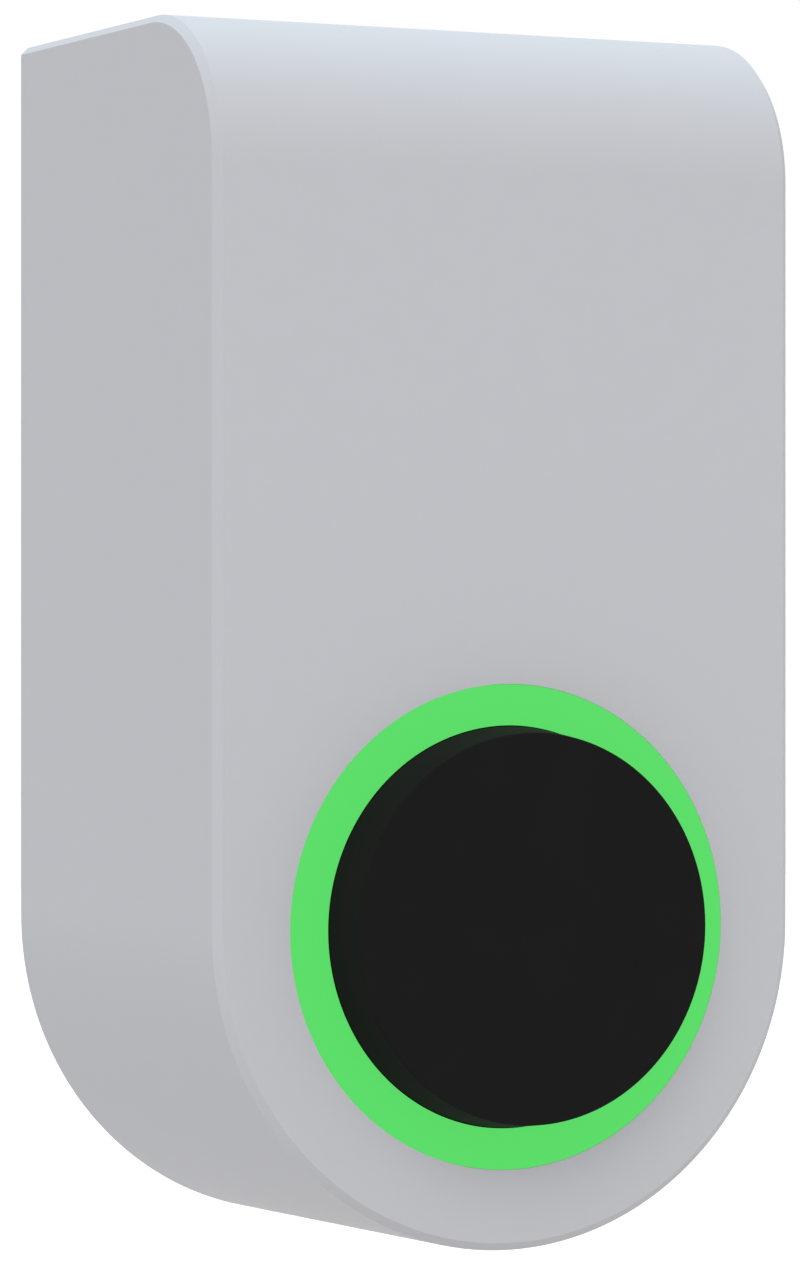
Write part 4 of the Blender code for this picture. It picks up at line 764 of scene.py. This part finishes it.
# ---------------------------------------------------------------- status lamps, behind the ring
board = lathe(rounded([(60.9, 134.9), (73.4, 134.9), (73.4, 136.4), (60.9, 136.4)], 0.15, 2, closed=True), 192, (0, CY, 0))
piece("lamp_board", board, BOARD_WHITE, ["led_board"])
lamps, pads = [], []
for k in range(24):
    a = math.radians(2.5 + 15 * k)
    turn = Matrix.Translation((63.7 * math.cos(a), CY + 63.7 * math.sin(a), 0)) @ Matrix.Rotation(a, 4, "Z")
    lamp = cut(block(-1.4, 1.4, -1.6, 1.6, 136.42, 137.5, edge=0.15, corner=0.3), lathe([(0, 137.2), (0.9, 137.2), (1.15, 138), (0, 138)], 24))
    lamp.transform(turn)
    lamps.append(lamp)
    for sy in (-1, 1):
        part = block(1.9, 3.2, sy * 1.5 - 0.5, sy * 1.5 + 0.5, 136.42, 136.85, edge=0.12)
        part.transform(turn)
        pads.append(part)
piece("lamp_packages", merged(lamps), BUTTON)
piece("lamp_resistors", merged(pads), BLACK)

# ---------------------------------------------------------------- behind the socket
retainer = prism(circle(0, CY, 33.4, 128), 92.3, 97.4, edge=0.5, holes=[circle(x, CY + y, 3.75 if power else 2.45, 40) for x, y, power in CONTACTS.values()])
retainer = cut(retainer, merged([block(x - 1.2, x + 1.2, CY - 34, CY - 30, 90, 99) for x in (-8, 8)]))
piece("contact_plate", retainer, TRAY, ["contact_retainer"])
gasket = prism(rectangle(0, CY, 83, 83, 7.5, 10), 133.5, 134.3, edge=0.2, holes=[circle(0, CY, 36.3, 112), *[circle(x, y, 2.3, 32) for x, y in SOCKET_SCREWS]])
piece("flange_gasket", gasket, RUBBER, ["socket_gasket"])
actuator = block(-17, 17, CY + 36.5, CY + 62, 103, 126, edge=1.3, corner=1.6, steps=4)
actuator = cut(actuator, rod((0, CY + 33, 114.0), "y", 24.5, 2.6, 48), block(-18, 18, CY + 49.6, CY + 50.2, 102, 103.5), block(-18, 18, CY + 49.6, CY + 50.2, 125.5, 127),
               block(-12, 12, CY + 54, CY + 59, 125.4, 127, corner=0.8), *[rod((sx * 13.5, CY + 41, 125.2), "z", 3, 1.5, 24) for sx in (-1, 1)])
piece("lock_drive", actuator, INSERT, ["lock_actuator"], angle=30)
piece("lock_bolt_pin", lathe(rounded([(0, 0), (1.5, 0), (2.2, 0.8), (2.2, 25.6), (0, 25.6)], [0, 0.2, 0.3, 0.3, 0], 4), 56, (0, CY + 26.4, 114.0), "y"), STAINLESS, ["lock_pin"], body="lock_bolt")

# ---------------------------------------------------------------- rail and its devices
r0, r1 = RAIL_Y - 17.5, RAIL_Y + 17.5
rail = [(r0, 14.2), (r0, 13.2), (r0 + 4, 13.2), (r0 + 4, 6.8), (r1 - 4, 6.8), (r1 - 4, 13.2), (r1, 13.2), (r1, 14.2), (r1 - 5, 14.2), (r1 - 5, 7.8), (r0 + 5, 7.8), (r0 + 5, 14.2)]
rail = side_prism(rounded(rail, [0.3, 0.3, 0.25, 1.2, 1.2, 0.25, 0.3, 0.3, 1.0, 0.4, 0.4, 1.0], 4, closed=True), -82.5, 82.5, edge=0.12)
rail = cut(rail, merged([rod((x, RAIL_Y, 5), "z", 5, 2.2, 40) for x in (-78, 78)] + [prism(rectangle(x, RAIL_Y, 15, 6.2, 3.0, 8), 5, 10) for x in range(-52, 66, 26)]))
piece("device_rail", rail, STEEL, ["din_rail"], angle=30)


def device_mesh(x, width, front, shoulder, seams=()):
    y = RAIL_Y
    outline = [(y - 42.5, 9), (y - 18.1, 9), (y - 18.1, 14.6), (y + 18.1, 14.6), (y + 18.1, 9), (y + 42.5, 9), (y + 42.5, shoulder), (y + 24, shoulder), (y + 22, shoulder + 2),
               (y + 22, front), (y - 22, front), (y - 22, shoulder + 2), (y - 24, shoulder), (y - 42.5, shoulder)]
    outline = rounded(outline, [0.8, 0.3, 0.3, 0.3, 0.3, 0.8, 1.4, 0.6, 0.6, 1.6, 1.6, 0.6, 0.6, 1.4], 4, closed=True)
    mesh = side_prism(outline, x - width / 2 + 0.2, x + width / 2 - 0.2, edge=0.5)
    grooves = [block(s - 0.25, s + 0.25, y - 44, y + 44, shoulder - 0.7, shoulder + 0.9) for s in seams] + [block(s - 0.25, s + 0.25, y - 22.4, y + 22.4, front - 0.6, front + 1) for s in seams]
    grooves += [block(x - width / 2 - 1, x + width / 2 + 1, y + s * 42.5 - 0.7, y + s * 42.5 + 0.7, shoulder - 9.2, shoulder - 8.8) for s in (-1, 1)]
    return cut(mesh, merged(grooves)) if grooves else mesh


def terminal_heads(places, z, r, node_name, at_axis="z"):
    """Slotted clamp screws down in their wells."""
    made = []
    for x, y in places:
        head = lathe(rounded([(0, z - 3.4), (r, z - 3.4), (r, z - 0.2), (0, z - 0.2)], [0, 0, 0.35, 0], 4), 40, (x, y, 0))
        head = cut(head, block(x - r - 0.5, x + r + 0.5, y - 0.35, y + 0.35, z - 1.1, z + 1), block(x - 0.35, x + 0.35, y - r * 0.7, y + r * 0.7, z - 1.1, z + 1))
        made.append(head)
    piece(node_name, merged(made), STEEL, angle=35)


TOGGLE_X, BUTTON_X, TOGGLE_Z = -31.0, -62.0, 62.0
rcd = device_mesh(RCD_X, RCD_W, 72.0, 52.0, seams=(-58.0, -40.0, -22.0))
rcd_cuts = [block(TOGGLE_X - 9.3, TOGGLE_X + 9.3, RAIL_Y - 13.2, RAIL_Y + 13.2, 50, 80, corner=0.4), block(BUTTON_X - 4.6, BUTTON_X + 4.6, RAIL_Y - 4.6, RAIL_Y + 4.6, 63, 80, corner=0.8),
            block(BUTTON_X - 8, BUTTON_X + 8, RAIL_Y + 9, RAIL_Y + 17, 71.5, 80, corner=0.8), block(-18, -8, RAIL_Y - 8, RAIL_Y + 8, 71.5, 80, corner=0.8)]
for x in RCD_POLES:
    rcd_cuts += [rod((x, RAIL_Y - 45, POLE_Z), "y", 12, 3.1, 40), rod((x, RAIL_Y + 33, POLE_Z), "y", 12, 3.1, 40)]
    rcd_cuts += [rod((x, RAIL_Y + s * 33, 45), "z", 12, 3.4, 40) for s in (-1, 1)]
piece("breaker_housing", cut(rcd, merged(rcd_cuts)), DEVICE, ["rcd_body"], angle=30)
terminal_heads([(x, RAIL_Y + s * 33) for x in RCD_POLES for s in (-1, 1)], 48.6, 3.1, "breaker_clamps")

tilt, half = math.radians(30.0), math.asin(3.6 / 9.0)
lever = [(9.0 * math.sin(a), 9.0 * math.cos(a)) for a in (tilt + half + (2 * math.pi - 2 * half) * i / 72 for i in range(73))]
grip = []
for side, reach in ((-1, 21.0), (-0.6, 22.2), (0.6, 22.2), (1, 21.0)):
    s = 3.6 * side * (0.86 if reach > 21.0 else 1)
    grip.append((reach * math.sin(tilt) + s * math.cos(tilt), reach * math.cos(tilt) - s * math.sin(tilt)))
rounded_grip = rounded([lever[-1], *grip, lever[0]], [0, 0.8, 0.8, 0.8, 0.8, 0], 4)
toggle = side_prism([*lever, *rounded_grip[1:-1]], -8.9, 8.9, edge=0.45)
toggle.transform(Matrix.Translation((TOGGLE_X, RAIL_Y, TOGGLE_Z)))
piece("breaker_toggle", toggle, TOGGLE, ["rcd_toggle"], body="breaker_lever", angle=30)
button = prism(rectangle(BUTTON_X, RAIL_Y, 8.4, 8.4, 1.2, 8), 65.4, 74.0, edge=0.55, steps=4)
button = cut(button, lathe([(0, 73.3), (1.4, 73.42), (2.6, 73.8), (3.0, 74.6), (0, 74.6)], 48, (BUTTON_X, RAIL_Y, 0)))
piece("test_button", button, BUTTON, ["rcd_test_button"], body="breaker_test_button", angle=30)

contactor = device_mesh(CONTACTOR_X, CONTACTOR_W, 66.0, 50.0, seams=(CONTACTOR_X - 13.5, CONTACTOR_X + 13.5))
con_cuts = [block(CONTACTOR_X - 11.4, CONTACTOR_X + 11.4, RAIL_Y - 6.4, RAIL_Y + 6.4, 54, 70, corner=0.6)]
for x in CONTACTOR_POLES:
    con_cuts += [rod((x, RAIL_Y - 45, POLE_Z), "y", 12, 3.1, 40), rod((x, RAIL_Y + 33, POLE_Z), "y", 12, 3.1, 40)]
    con_cuts += [rod((x, RAIL_Y + s * 33, 43.5), "z", 12, 3.4, 40) for s in (-1, 1)]
piece("relay_housing", cut(contactor, merged(con_cuts)), TRAY, ["contactor_body"], angle=30)
terminal_heads([(x, RAIL_Y + s * 33) for x in CONTACTOR_POLES for s in (-1, 1)], 46.8, 3.1, "relay_clamps")
armature = prism(rectangle(CONTACTOR_X, RAIL_Y, 22, 12, 1.0, 8), 59.6, 67.2, edge=0.5, steps=4)
armature = cut(armature, block(CONTACTOR_X - 7, CONTACTOR_X + 7, RAIL_Y - 0.6, RAIL_Y + 0.6, 66.4, 68), block(CONTACTOR_X - 0.6, CONTACTOR_X + 0.6, RAIL_Y - 4, RAIL_Y + 4, 66.4, 68))
piece("relay_armature", armature, BLACK, ["contactor_armature"], body="contactor_armature", angle=30)
supply = device_mesh(SUPPLY_X, SUPPLY_W, 66.0, 50.0)
supply = cut(supply, merged([rod((SUPPLY_X + k * 4.5, RAIL_Y + s * 33, 44), "z", 12, 2.4, 36) for s in (-1, 1) for k in (-1, 1)]))
supply = cut(supply, merged([block(SUPPLY_X - 6, SUPPLY_X + 6, y - 0.6, y + 0.6, 65, 70, corner=0.3) for y in range(48, 74, 4)]))
piece("supply_housing", supply, DEVICE, ["power_supply"], angle=30)
terminal_heads([(SUPPLY_X + k * 4.5, RAIL_Y + s * 33) for s in (-1, 1) for k in (-1, 1)], 47.0, 2.1, "supply_clamps")

busbar = block(-72, 49, 107.5, 119.5, 23.5, 36.5, edge=0.8, corner=1.0)
busbar = cut(busbar, merged([block(-66, 43, 107, 108.2, z - 0.4, z + 0.4) for z in (27, 33)] + [block(x - 0.3, x + 0.3, 107, 120, 36.0, 37) for x in range(-63, 46, 9)]))
piece("link_bar_cover", join(busbar, *[block(x - 1.6, x + 1.6, 94.5, 109, POLE_Z - 1.6, POLE_Z + 1.6, edge=0.3) for x in RCD_POLES + CONTACTOR_POLES]), BAR, ["link_busbar"], angle=30)

terminals = side_prism(rounded([(-80, 6.8), (-44, 6.8), (-44, 32), (-48, 36), (-54, 38.5), (-70, 38.5), (-76, 36), (-80, 32)], [0.8, 0.8, 1.2, 1.2, 1.2, 1.2, 1.2, 1.2], 4, closed=True), -31, 31, edge=0.5)
term_cuts = [block(x - 0.25, x + 0.25, -81, -43, 37.9, 40) for x in (-18, -6, 6, 18)]
for x in TERMINAL_POLES:
    term_cuts += [rod((x, -84, 20.0), "y", 14, 3.4, 40), rod((x, -56, 24.0), "y", 15, 2.9, 40), block(x - 2.4, x + 2.4, -66, -58, 34, 42, corner=0.5)]
piece("supply_terminals", cut(terminals, merged(term_cuts)), DEVICE, ["terminal_block"], angle=30)
terminal_heads([(x, -62) for x in TERMINAL_POLES], 37.4, 2.0, "terminal_clamps")

SENSOR = (24.0, -8.0, 46.0)
core = lathe(rounded([(8.2, -5), (14.4, -5), (15.4, -4), (15.4, 4), (14.4, 5), (8.2, 5)], [0.7, 0.5, 0.5, 0.5, 0.5, 0.7], 4, closed=True), 96, SENSOR, "y")
piece("leak_sensor", core, CORE, ["leakage_sensor"])


def chip(x0, x1, y0, y1, z, h, pins=True, pitch=1.27):
    body = block(x0 + 0.9, x1 - 0.9, y0, y1, z + 0.12, z + h, edge=0.15, corner=0.2)
    legs = []
    if pins:
        count = int((y1 - y0 - 1.2) / pitch)
        for side in (-1, 1):
            for i in range(count + 1):
                y = (y0 + y1) / 2 + (i - count / 2) * pitch
                x = x0 if side < 0 else x1
                legs.append(block(min(x, x - side * 1.0), max(x, x - side * 1.0), y - 0.22, y + 0.22, z, z + min(0.5, h * 0.4)))
    return body, legs


board = prism(rectangle(0, 75, 176, 102, 3, 8), 94.4, 96.0, edge=0.12, holes=[circle(x, y, 1.7, 36) for x, y in BOARD_POSTS])
piece("main_board", board, BOARD, ["control_board"], angle=30)
dark, metal, white, blue = [], [], [], []
Z = 96.02
blue.append(cut(block(-70, -36, 90, 112, Z, Z + 8.9, edge=0.5, corner=0.8), block(-66, -40, 94, 108, Z + 8.5, Z + 10, corner=0.6)))
for x0, x1, y0, y1, h in ((-30, -12, 92, 110, 1.4), (0, 14, 88, 102, 2.0)):
    body, legs = chip(x0, x1, y0, y1, Z, h, pitch=0.9)
    dark.append(cut(body, lathe([(0, Z + h - 0.15), (0.5, Z + h - 0.15), (0.5, Z + h + 1), (0, Z + h + 1)], 20, (x0 + 2.6, y1 - 1.8, 0))))
    metal += legs
core_part = [block(22, 62, 94, 116, Z, Z + 3.0, edge=0.3, corner=0.8), block(27, 57, 96, 114, Z + 2.8, Z + 13.9, edge=0.6, corner=1.2)]
dark += core_part
for x0, x1 in ((-72, -58), (-50, -36)):
    for k in range(2):
        cx = (x0 + x1) / 2 + (k - 0.5) * 7.0
        dark.append(lathe(rounded([(0, Z), (3.3, Z), (3.3, Z + 11.6), (0, Z + 11.6)], [0, 0.4, 0.7, 0], 5), 48, (cx, 42 if k else 46, 0)))
        metal.append(lathe(rounded([(0, Z + 11.55), (2.6, Z + 11.55), (2.6, Z + 11.8), (0, Z + 11.8)], [0, 0, 0.1, 0], 3), 40, (cx, 42 if k else 46, 0)))
for x0, x1 in ((-20, 10), (20, 50)):
    shell_part = block(x0, x1, 30, 40, Z, Z + 7.9, edge=0.3, corner=0.4)
    count = 6
    wells = [block(x0 + 2.5 + 5 * i - 1.7, x0 + 2.5 + 5 * i + 1.7, 29, 34, Z + 1.5, Z + 5.5, corner=0.3) for i in range(count)] + [rod((x0 + 2.5 + 5 * i, 36.2, Z + 5.4), "z", 4, 1.7, 32) for i in range(count)]
    white.append(cut(shell_part, merged(wells)))
    metal += [cut(rod((x0 + 2.5 + 5 * i, 36.2, Z + 4.6), "z", 1.6, 1.45, 32, ease=0.2), block(x0 + 2.5 + 5 * i - 2, x0 + 2.5 + 5 * i + 2, 36.0, 36.4, Z + 5.7, Z + 7)) for i in range(count)]
metal.append(cut(block(-10, 24, 56, 76, Z, Z + 2.9, edge=0.35, corner=1.0), merged([rod((-6 + 4 * i, 59 + 14 * j, Z + 2.7), "z", 1, 0.8, 20) for i in range(7) for j in range(2)])))
blue.append(block(40, 66, 56, 76, Z, Z + 4.9, edge=0.4, corner=0.6))
for k in range(10):
    dark.append(block(-56 + 5 * k, -53.6 + 5 * k, 80.0, 81.4, Z, Z + 0.5, edge=0.1))
    metal.append(block(-56.5 + 5 * k, -56.02 + 5 * k, 80.0, 81.4, Z, Z + 0.42, edge=0.08))
piece("board_parts_dark", merged(dark), INSERT, angle=32)
piece("board_parts_metal", merged(metal), STEEL, angle=32)
piece("board_connectors", merged(white), BUTTON, angle=32)
piece("board_relays", merged(blue), TOGGLE, angle=32)

reader = prism(rectangle(0, 50, 62, 44, 3, 8), 138.6, 140.0, edge=0.12)
piece("reader_board", reader, BOARD, ["rfid_board"], angle=30)
coil = []
for k in range(4):
    w, h = 57 - 2.4 * k, 24 - 2.4 * k
    coil.append(prism(rectangle(0, 50, w, h, 2.5, 6), 140.02, 140.07, holes=[rectangle(0, 50, w - 1.1, h - 1.1, 2.0, 6)]))
coil += [block(-24.5, 24.5, y0, y0 + 2.1, 140.02, 141.1, edge=0.2, corner=0.3) for y0 in (31.2, 66.7)]
piece("reader_antenna", merged(coil), SILVER, angle=32)
body, legs = chip(-6, 6, 44, 56, 140.02, 1.5, pitch=0.8)
piece("reader_chip", body, INSERT, angle=32)
piece("reader_chip_legs", merged(legs), STEEL, angle=32)

# ---------------------------------------------------------------- wiring
WIRES = {"l1": WIRE_BROWN, "l2": WIRE_BLACK, "l3": WIRE_GREY, "n": WIRE_BLUE}
for k, label in enumerate(("l1", "l2", "l3", "n")):
    x0, x1 = TERMINAL_POLES[k], RCD_POLES[k]
    tube(f"feed_wire_{label}", smooth_path([(x0, -54.5, 24), (x0, -46, 24), (x0, -38, 24), (x0 * 0.8 + x1 * 0.2, -26, 26), (x0 * 0.25 + x1 * 0.75, -4, POLE_Z), (x1, 9, POLE_Z), (x1, 17, POLE_Z), (x1, 26, POLE_Z)]),
         2.2, WIRES[label], [f"supply_wire_{label}"], sides=6)
sx, sy, sz = SENSOR
ROUTES = {"l1": (-3.3, 3.3, ((7.5, 10, 32), (14, 3, 41), (10, -32, 52), (-8, -46, 55), (-17, -62, 58))),
          "l2": (-3.3, -3.3, ((18.9, 10, 31), (20.6, 3, 38), (13, -32, 46), (-1, -46, 50), (-8.9, -62, 53))),
          "l3": (3.3, -3.3, ((31, 10, 31), (28, 3, 38), (21, -32, 46), (12, -46, 50), (8.9, -62, 53))),
          "n": (3.3, 3.3, ((42.5, 10, 32), (34, 3, 41), (25, -32, 52), (20, -46, 55), (17, -62, 58)))}
for k, (label, (dx, dz, route)) in enumerate(ROUTES.items()):
    cx, cy, _ = CONTACTS[label]
    x0 = CONTACTOR_POLES[k]
    a, b, *rest = route
    path = [(x0, 26, POLE_Z), (x0, 18, POLE_Z), a, b, (sx + dx, sy + 5, sz + dz), (sx + dx, sy - 8, sz + dz), *rest, (cx, CY + cy + 9, 62), (cx, CY + cy + 1.2, 71), (cx, CY + cy, 83), (cx, CY + cy, 93.5)]
    tube(f"outlet_wire_{label}", smooth_path(path), 2.2, WIRES[label], [f"socket_wire_{label}"], sides=6)
tube("outlet_wire_pe", smooth_path([(24, -54.5, 24), (24, -46, 24), (24, -38, 25), (21, -31, 30), (12, -34, 36.5), (3, -46, 42), (0, -60, 47), (0, -76, 54), (0, CY + 1, 67), (0, CY, 80), (0, CY, 93.5)]),
     2.2, WIRE_EARTH, ["socket_wire_pe"], sides=6)

# ---------------------------------------------------------------- camera, floor and light
camera_data = bpy.data.cameras.new("camera")
camera = bpy.data.objects.new("camera", camera_data)
scene.collection.objects.link(camera)
YAW = 0.464
camera.location = (-0.78127, -1.63399, -0.00986)
camera.rotation_euler = (math.radians(90), 0, -YAW)
camera_data.lens = 161.32
camera_data.sensor_width = 36.0
camera_data.shift_x = -0.00051
camera_data.shift_y = 0.02654
camera_data.clip_end = 50.0
scene.camera = camera

floor_mesh = bpy.data.meshes.new("floor")
floor_mesh.from_pydata([(-8, -8, -0.42), (8, -8, -0.42), (8, 8, -0.42), (-8, 8, -0.42)], [], [(0, 1, 2, 3)])
floor = bpy.data.objects.new("floor", floor_mesh)
scene.collection.objects.link(floor)
floor_mesh.materials.append(mould("floor_pale", (0.664, 0.608, 0.582), 0.7, 0.03, grain=40.0, depth=0.0, mottle=0.005, slow=3.0, Specular_IOR_Level=0.1))

world = bpy.data.worlds.new("studio")
scene.world = world
world.use_nodes = True
background = world.node_tree.nodes["Background"]
background.inputs["Color"].default_value = (1.0, 1.0, 1.0, 1)
# a white studio whose wall on the front left is a little brighter than the rest
direction = node(world.node_tree, "ShaderNodeTexCoord")
facing = node(world.node_tree, "ShaderNodeVectorMath")
facing.operation = "DOT_PRODUCT"
facing.inputs[1].default_value = (-0.35, -0.937, 0.0)
glow = node(world.node_tree, "ShaderNodeMapRange", From_Min=-1.0, From_Max=1.0, To_Min=1.0, To_Max=1.37)
world.node_tree.links.new(direction.outputs["Generated"], facing.inputs[0])
world.node_tree.links.new(facing.outputs["Value"], glow.inputs["Value"])
world.node_tree.links.new(glow.outputs["Result"], background.inputs["Strength"])


def soft_sun(name, towards, strength, spread, colour):
    """Soft studio light from far away: towards points from the object to the light."""
    light = bpy.data.lights.new(name, "SUN")
    light.energy = strength
    light.angle = math.radians(spread)
    light.color = colour
    made = bpy.data.objects.new(name, light)
    scene.collection.objects.link(made)
    made.rotation_euler = Vector(towards).to_track_quat("Z", "Y").to_euler()
    return made


soft_sun("key", (-0.30, -0.58, 0.757), 1.45, 45, (0.98, 0.99, 1.0))
soft_sun("overhead", (0.0, 0.30, 0.954), 2.22, 30, (0.615, 0.842, 0.99))

scene.view_settings.view_transform = "Standard"
scene.view_settings.look = "None"
